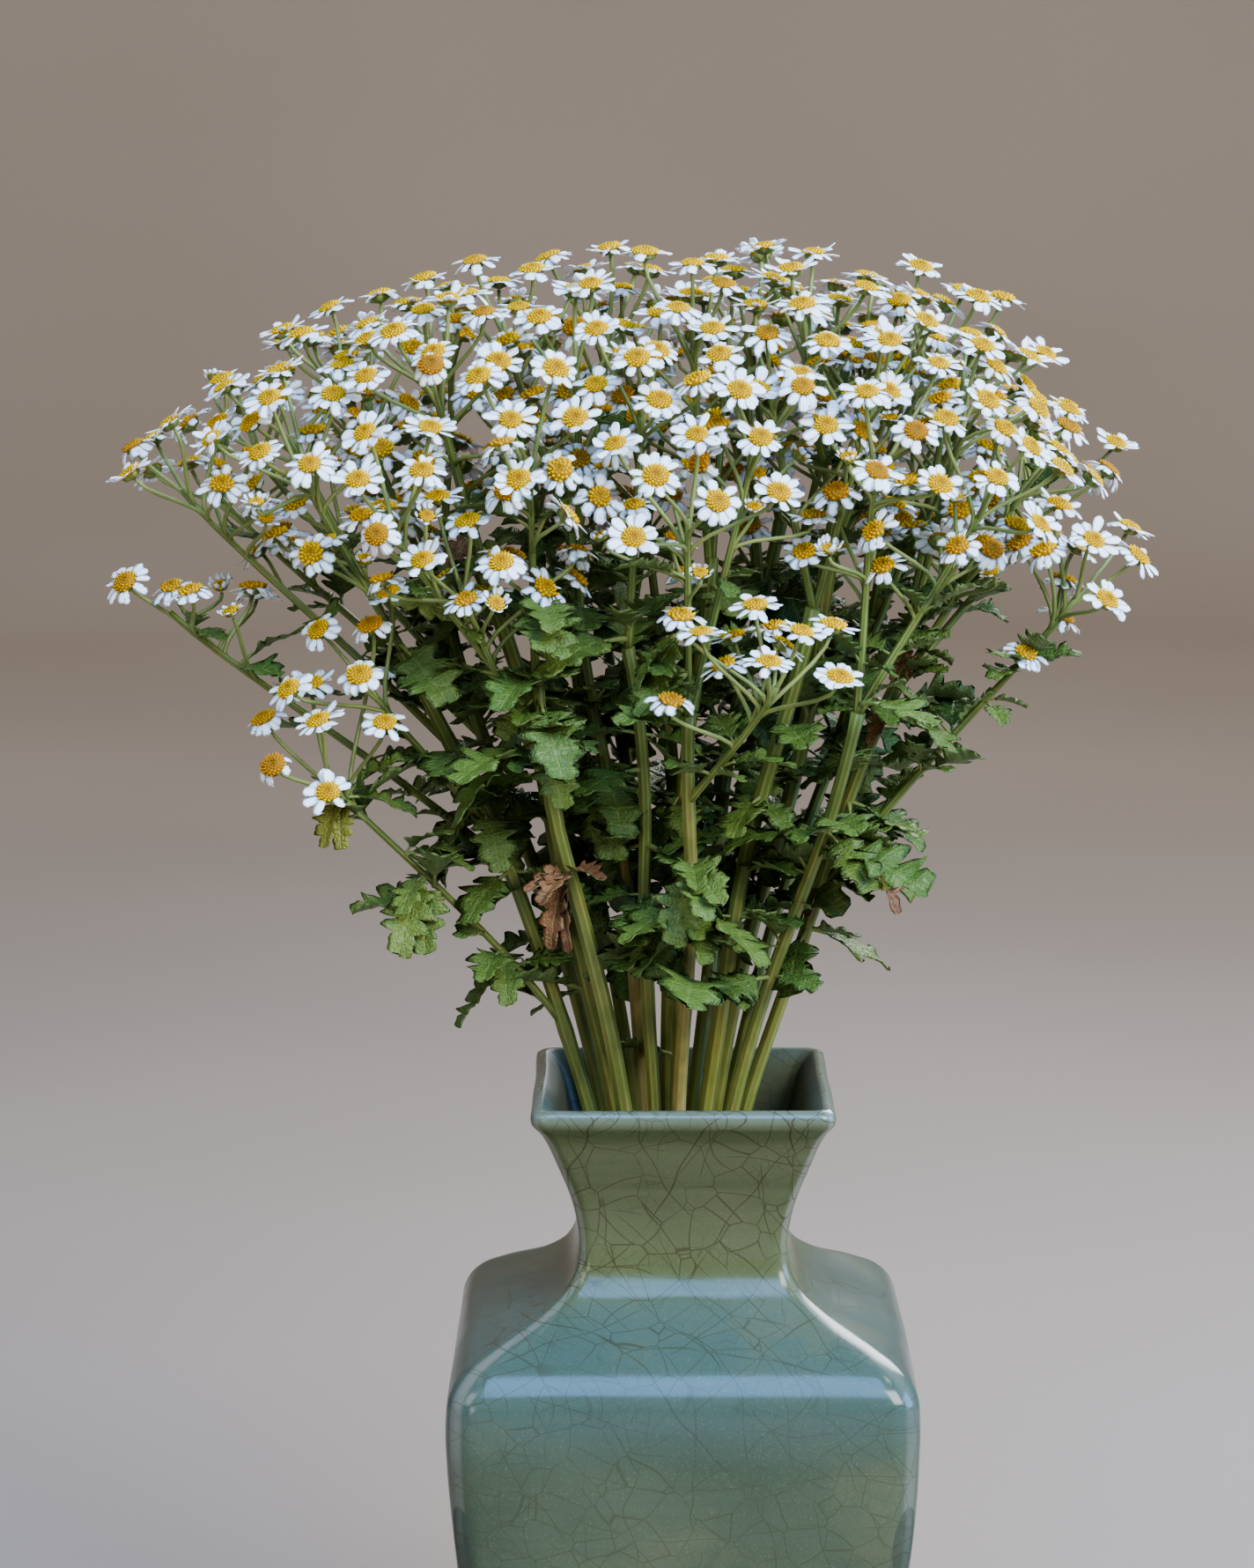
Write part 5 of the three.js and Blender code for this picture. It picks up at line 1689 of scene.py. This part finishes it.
def glaze_material():
    """Glossy celadon: crossing cracks, olive on the neck, a teal band on the shoulder that is a painted
    reflection of blue sky light, pale edges that are partly thin glaze and partly a painted highlight, and
    an inside darkened with painted shade.
    """
    shader = Shader("crackled_celadon", Specular_IOR_Level=0.42)
    level, corner, thin, inside = shader.look()
    place = shader.place(1, 1, 1)
    pools = shader.noise(place, 16, 3)
    cool = shader.blend(shader.rise(pools, 0.3, 0.7), (0.054, 0.078, 0.047), (0.076, 0.104, 0.062))
    neck = shader.rise(level, 0.7, 0.8)
    olive = shader.blend(shader.times(neck, 0.85), cool, (0.1, 0.115, 0.048))
    # Painted reflection: a teal band over the upper body and shoulder stands for blue sky light reflected
    # there
    painted_sky_band = shader.times(shader.rise(level, 0.56, 0.66), shader.rise(level, 0.79, 0.72))
    teal = shader.blend(shader.times(painted_sky_band, 0.75), olive, (0.066, 0.11, 0.096))
    clouds = shader.noise(place, 34, 4)
    warm = shader.blend(shader.rise(clouds, 0.5, 0.75, 0, 0.5), teal, (0.12, 0.125, 0.07))
    # Pale corner edges: partly the glaze running thin, partly a painted highlight, patchy along their
    # length
    worn_and_highlight_patches = shader.rise(shader.noise(place, 22, 2), 0.35, 0.62, 0.25, 1)
    edge = shader.times(shader.rise(corner, 0.88, 1), shader.rise(level, 0.2, 0.7, 0.15, 0.36))
    thin_and_highlit_edges = shader.blend(shader.times(edge, worn_and_highlight_patches), warm, (0.38, 0.36, 0.31))
    lip = shader.blend(shader.times(thin, 0.6), thin_and_highlit_edges, (0.15, 0.2, 0.185))
    specks = shader.noise(place, 1500, 2)
    speckled = shader.blend(shader.rise(specks, 0.58, 0.7, 0, 0.22), lip, (0.17, 0.21, 0.15))
    depth = shader.times(glaze_cracks(shader, place), shader.rise(level, 0.62, 0.8, 0.38, 0.7))
    matt = shader.times(inside, 0.4)
    roughness = shader.math("ADD", shader.rise(pools, 0.3, 0.7, 0.15, 0.24), matt)
    shader.feed(shader.principled, "Roughness", roughness)
    ripples = shader.math("ADD", shader.noise(place, 26, 2), shader.noise(shader.place(9, 9, 150), 1, 1))
    shader.bump(ripples, 0.0011, 0.4)
    cracked = shader.blend(depth, speckled, (0.042, 0.034, 0.012))
    # Painted shade: the inside of the vase is painted dark
    return shader.colour(shader.blend(shader.times(inside, 0.45), cracked, (0.02, 0.035, 0.026)))


# Stage: a round pale floor that curves up into a wall, soft lights, and the photograph's camera
STAGE_RADIUS = 3.2
STAGE_COVE = 1.1
STAGE_WALL = 3.2
STAGE_SIDES = 96
STAGE_COVE_STEPS = 12
SOFT_WHITE = (0.97, 0.98, 1.0)
SKY_BLUE = (0.22, 0.48, 1.0)
WARM_WHITE = (1.0, 0.92, 0.82)
AIM = (-0.01, 0, 0.34)
# Each light: name, place, what it points at, size, power, how wide it fans out in degrees, and colour
LIGHTS = [
    ("window_above", (0.06, -0.95, 1.6), (0, -0.06, 0.185), (0.85, 1.3), 30, 180, SKY_BLUE),
    ("soft_right", (1.15, -1.3, 1.6), AIM, (1.2, 1.2), 68, 180, SOFT_WHITE),
    ("sky_right", (1.9, -0.2, 0.9), AIM, (1.1, 1.0), 14, 110, SKY_BLUE),
    ("soft_left", (-1.3, -1.2, 1.6), AIM, (0.9, 0.9), 12, 180, SOFT_WHITE),
    ("soft_back", (0.9, 1.9, 1.5), AIM, (1.2, 1.0), 6, 70, SOFT_WHITE),
    ("low_front", (-0.75, -1.7, 0.55), AIM, (0.3, 0.7), 4, 180, WARM_WHITE),
    ("wall_behind", (0, 1.4, 2.9), (0, 4.3, 1.1), (2.6, 0.5), 47, 180, WARM_WHITE),
    ("wall_left", (-1.4, 0, 2.9), (-4.3, 0, 1.1), (0.5, 2.6), 7, 180, WARM_WHITE),
    ("wall_right", (1.4, 0, 2.9), (4.3, 0, 1.1), (0.5, 2.6), 41, 180, WARM_WHITE),
    ("wall_front", (0, -1.4, 2.9), (0, -4.3, 1.1), (2.6, 0.5), 18, 180, WARM_WHITE),
]
WORLD_LIGHT = (0.56, 0.58, 0.6)
WORLD_STRENGTH = 0.3


def stage_material():
    shader = Shader("pale_stage", Roughness=0.85, Specular_IOR_Level=0.2)
    cloud = shader.noise(shader.place(1, 1, 1), 1.2, 2)
    pale = shader.blend(shader.rise(cloud, 0.3, 0.7), (0.35, 0.3, 0.255), (0.38, 0.33, 0.285))
    return shader.colour(pale)


def make_stage():
    cove = np.linspace(0, math.pi / 2, STAGE_COVE_STEPS)
    profile = [(0.0, STAGE_RADIUS * share) for share in (0.25, 0.5, 1)]
    for a in cove[1:]:
        profile.append((STAGE_COVE * (1 - math.cos(a)), STAGE_RADIUS + STAGE_COVE * math.sin(a)))
    profile += [(STAGE_WALL, STAGE_RADIUS + STAGE_COVE)]
    angles = 2 * np.pi * np.arange(STAGE_SIDES) / STAGE_SIDES
    rings = [(r * math.cos(a), r * math.sin(a), z) for z, r in profile for a in angles]
    points = np.array(rings)[None] / MM
    side, foot, _ = rod_faces(len(profile), STAGE_SIDES)
    stage = Gathered()
    stage.add(points, [side[:, ::-1], foot[:, ::-1]], np.zeros((1, points.shape[1], 4)))
    floor = stage.make("pale_floor", stage_material())


def add_light(name, place, aim, size, power, spread, colour):
    light = bpy.data.lights.new(name, "AREA")
    light.shape = "RECTANGLE"
    light.size, light.size_y = size
    light.energy = power
    light.spread = math.radians(spread)
    light.color = colour
    lamp = bpy.data.objects.new(name, light)
    lamp.location = place
    lamp.rotation_euler = (Vector(aim) - Vector(place)).to_track_quat("-Z", "Y").to_euler()
    lamp.visible_camera = False
    bpy.context.scene.collection.objects.link(lamp)


def light_stage():
    for light in LIGHTS:
        add_light(*light)
    world = bpy.data.worlds.new("soft_room")
    world.use_nodes = True
    background = world.node_tree.nodes["Background"]
    background.inputs["Color"].default_value = (*WORLD_LIGHT, 1)
    background.inputs["Strength"].default_value = WORLD_STRENGTH
    bpy.context.scene.world = world
    bpy.context.scene.view_settings.look = "AgX - Medium High Contrast"


def place_camera():
    camera = bpy.data.cameras.new("photo_camera")
    camera.sensor_width = SENSOR
    camera.lens = FOCAL_PIXELS / PHOTO_HEIGHT * SENSOR
    viewer = bpy.data.objects.new("photo_camera", camera)
    viewer.location = CAMERA_PLACE
    viewer.rotation_euler = (math.pi / 2 - CAMERA_DIP, 0, 0)
    bpy.context.scene.collection.objects.link(viewer)
    bpy.context.scene.camera = viewer


def grow_bouquet():
    """Every stem's fine pieces, each standing for its stem of the part."""
    rng = np.random.default_rng(BLOOM_SEED)
    stems, sprays, heads = plan_bouquet()
    large = place_large_leaves(stems, sprays, heads)
    for spray in sprays:
        spray.line = branch_path(spray, stem_point(spray.stem, spray.fork), np.linspace(0, 1, BRANCH_STEPS))
    for head in heads:
        head.root = back_from_tip(head.spray.line, head.back)
        head.facing = (head.facing + Vector((0, 0, HEAD_UPWARD))).normalized()
        old = rng.random() < OLD_SHARE
        dress_head(head, rng, rng.uniform(*OLD_AGES) if old else FRESH_AGES * rng.random())
    lower = plan_lower_heads(sprays, heads, rng) + plan_young_heads(sprays, rng)
    blooms = heads + lower
    for leaf in large:
        dress_leaf(leaf, rng, rng.uniform(*LARGE_LEAF_TONES))
    small = plan_small_leaves(sprays, blooms, rng)
    seen = plan_seen_leaves(sprays, rng)
    materials = {
        "green": green_material(),
        "petals": petal_material(),
        "discs": disc_material(),
        "leaves": leaf_material(),
    }
    for number in range(len(STEM_SITES)):
        node = f"flower_stem_{number + 1:02d}"
        own = {
            "fine": [bloom for bloom in heads if bloom.stem == number],
            "plain": [bloom for bloom in lower if bloom.stem == number],
        }
        parts = {kind: Gathered() for kind in materials}
        grow_green(parts["green"], number, sprays, own["fine"] + own["plain"], rng)
        for size, leaves in (("large", large + seen), ("small", small)):
            some_leaves = [leaf for leaf in leaves if leaf.stem == number]
            add_leaves(parts["leaves"], parts["green"], some_leaves, size)
        for detail, some in own.items():
            if some:
                add_petals(parts["petals"], some, detail, rng)
                add_discs(parts["discs"], some, detail, rng)
        for kind, gathered in parts.items():
            if gathered.count:
                piece = gathered.make(f"{node}_{kind}", materials[kind], cad_box)
                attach(piece, "root")
                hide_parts(node)


def set_vase():
    vase = make_vase(glaze_material())
    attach(vase, "root")
    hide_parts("vase")


place_camera()
grow_bouquet()
set_vase()
make_stage()
light_stage()
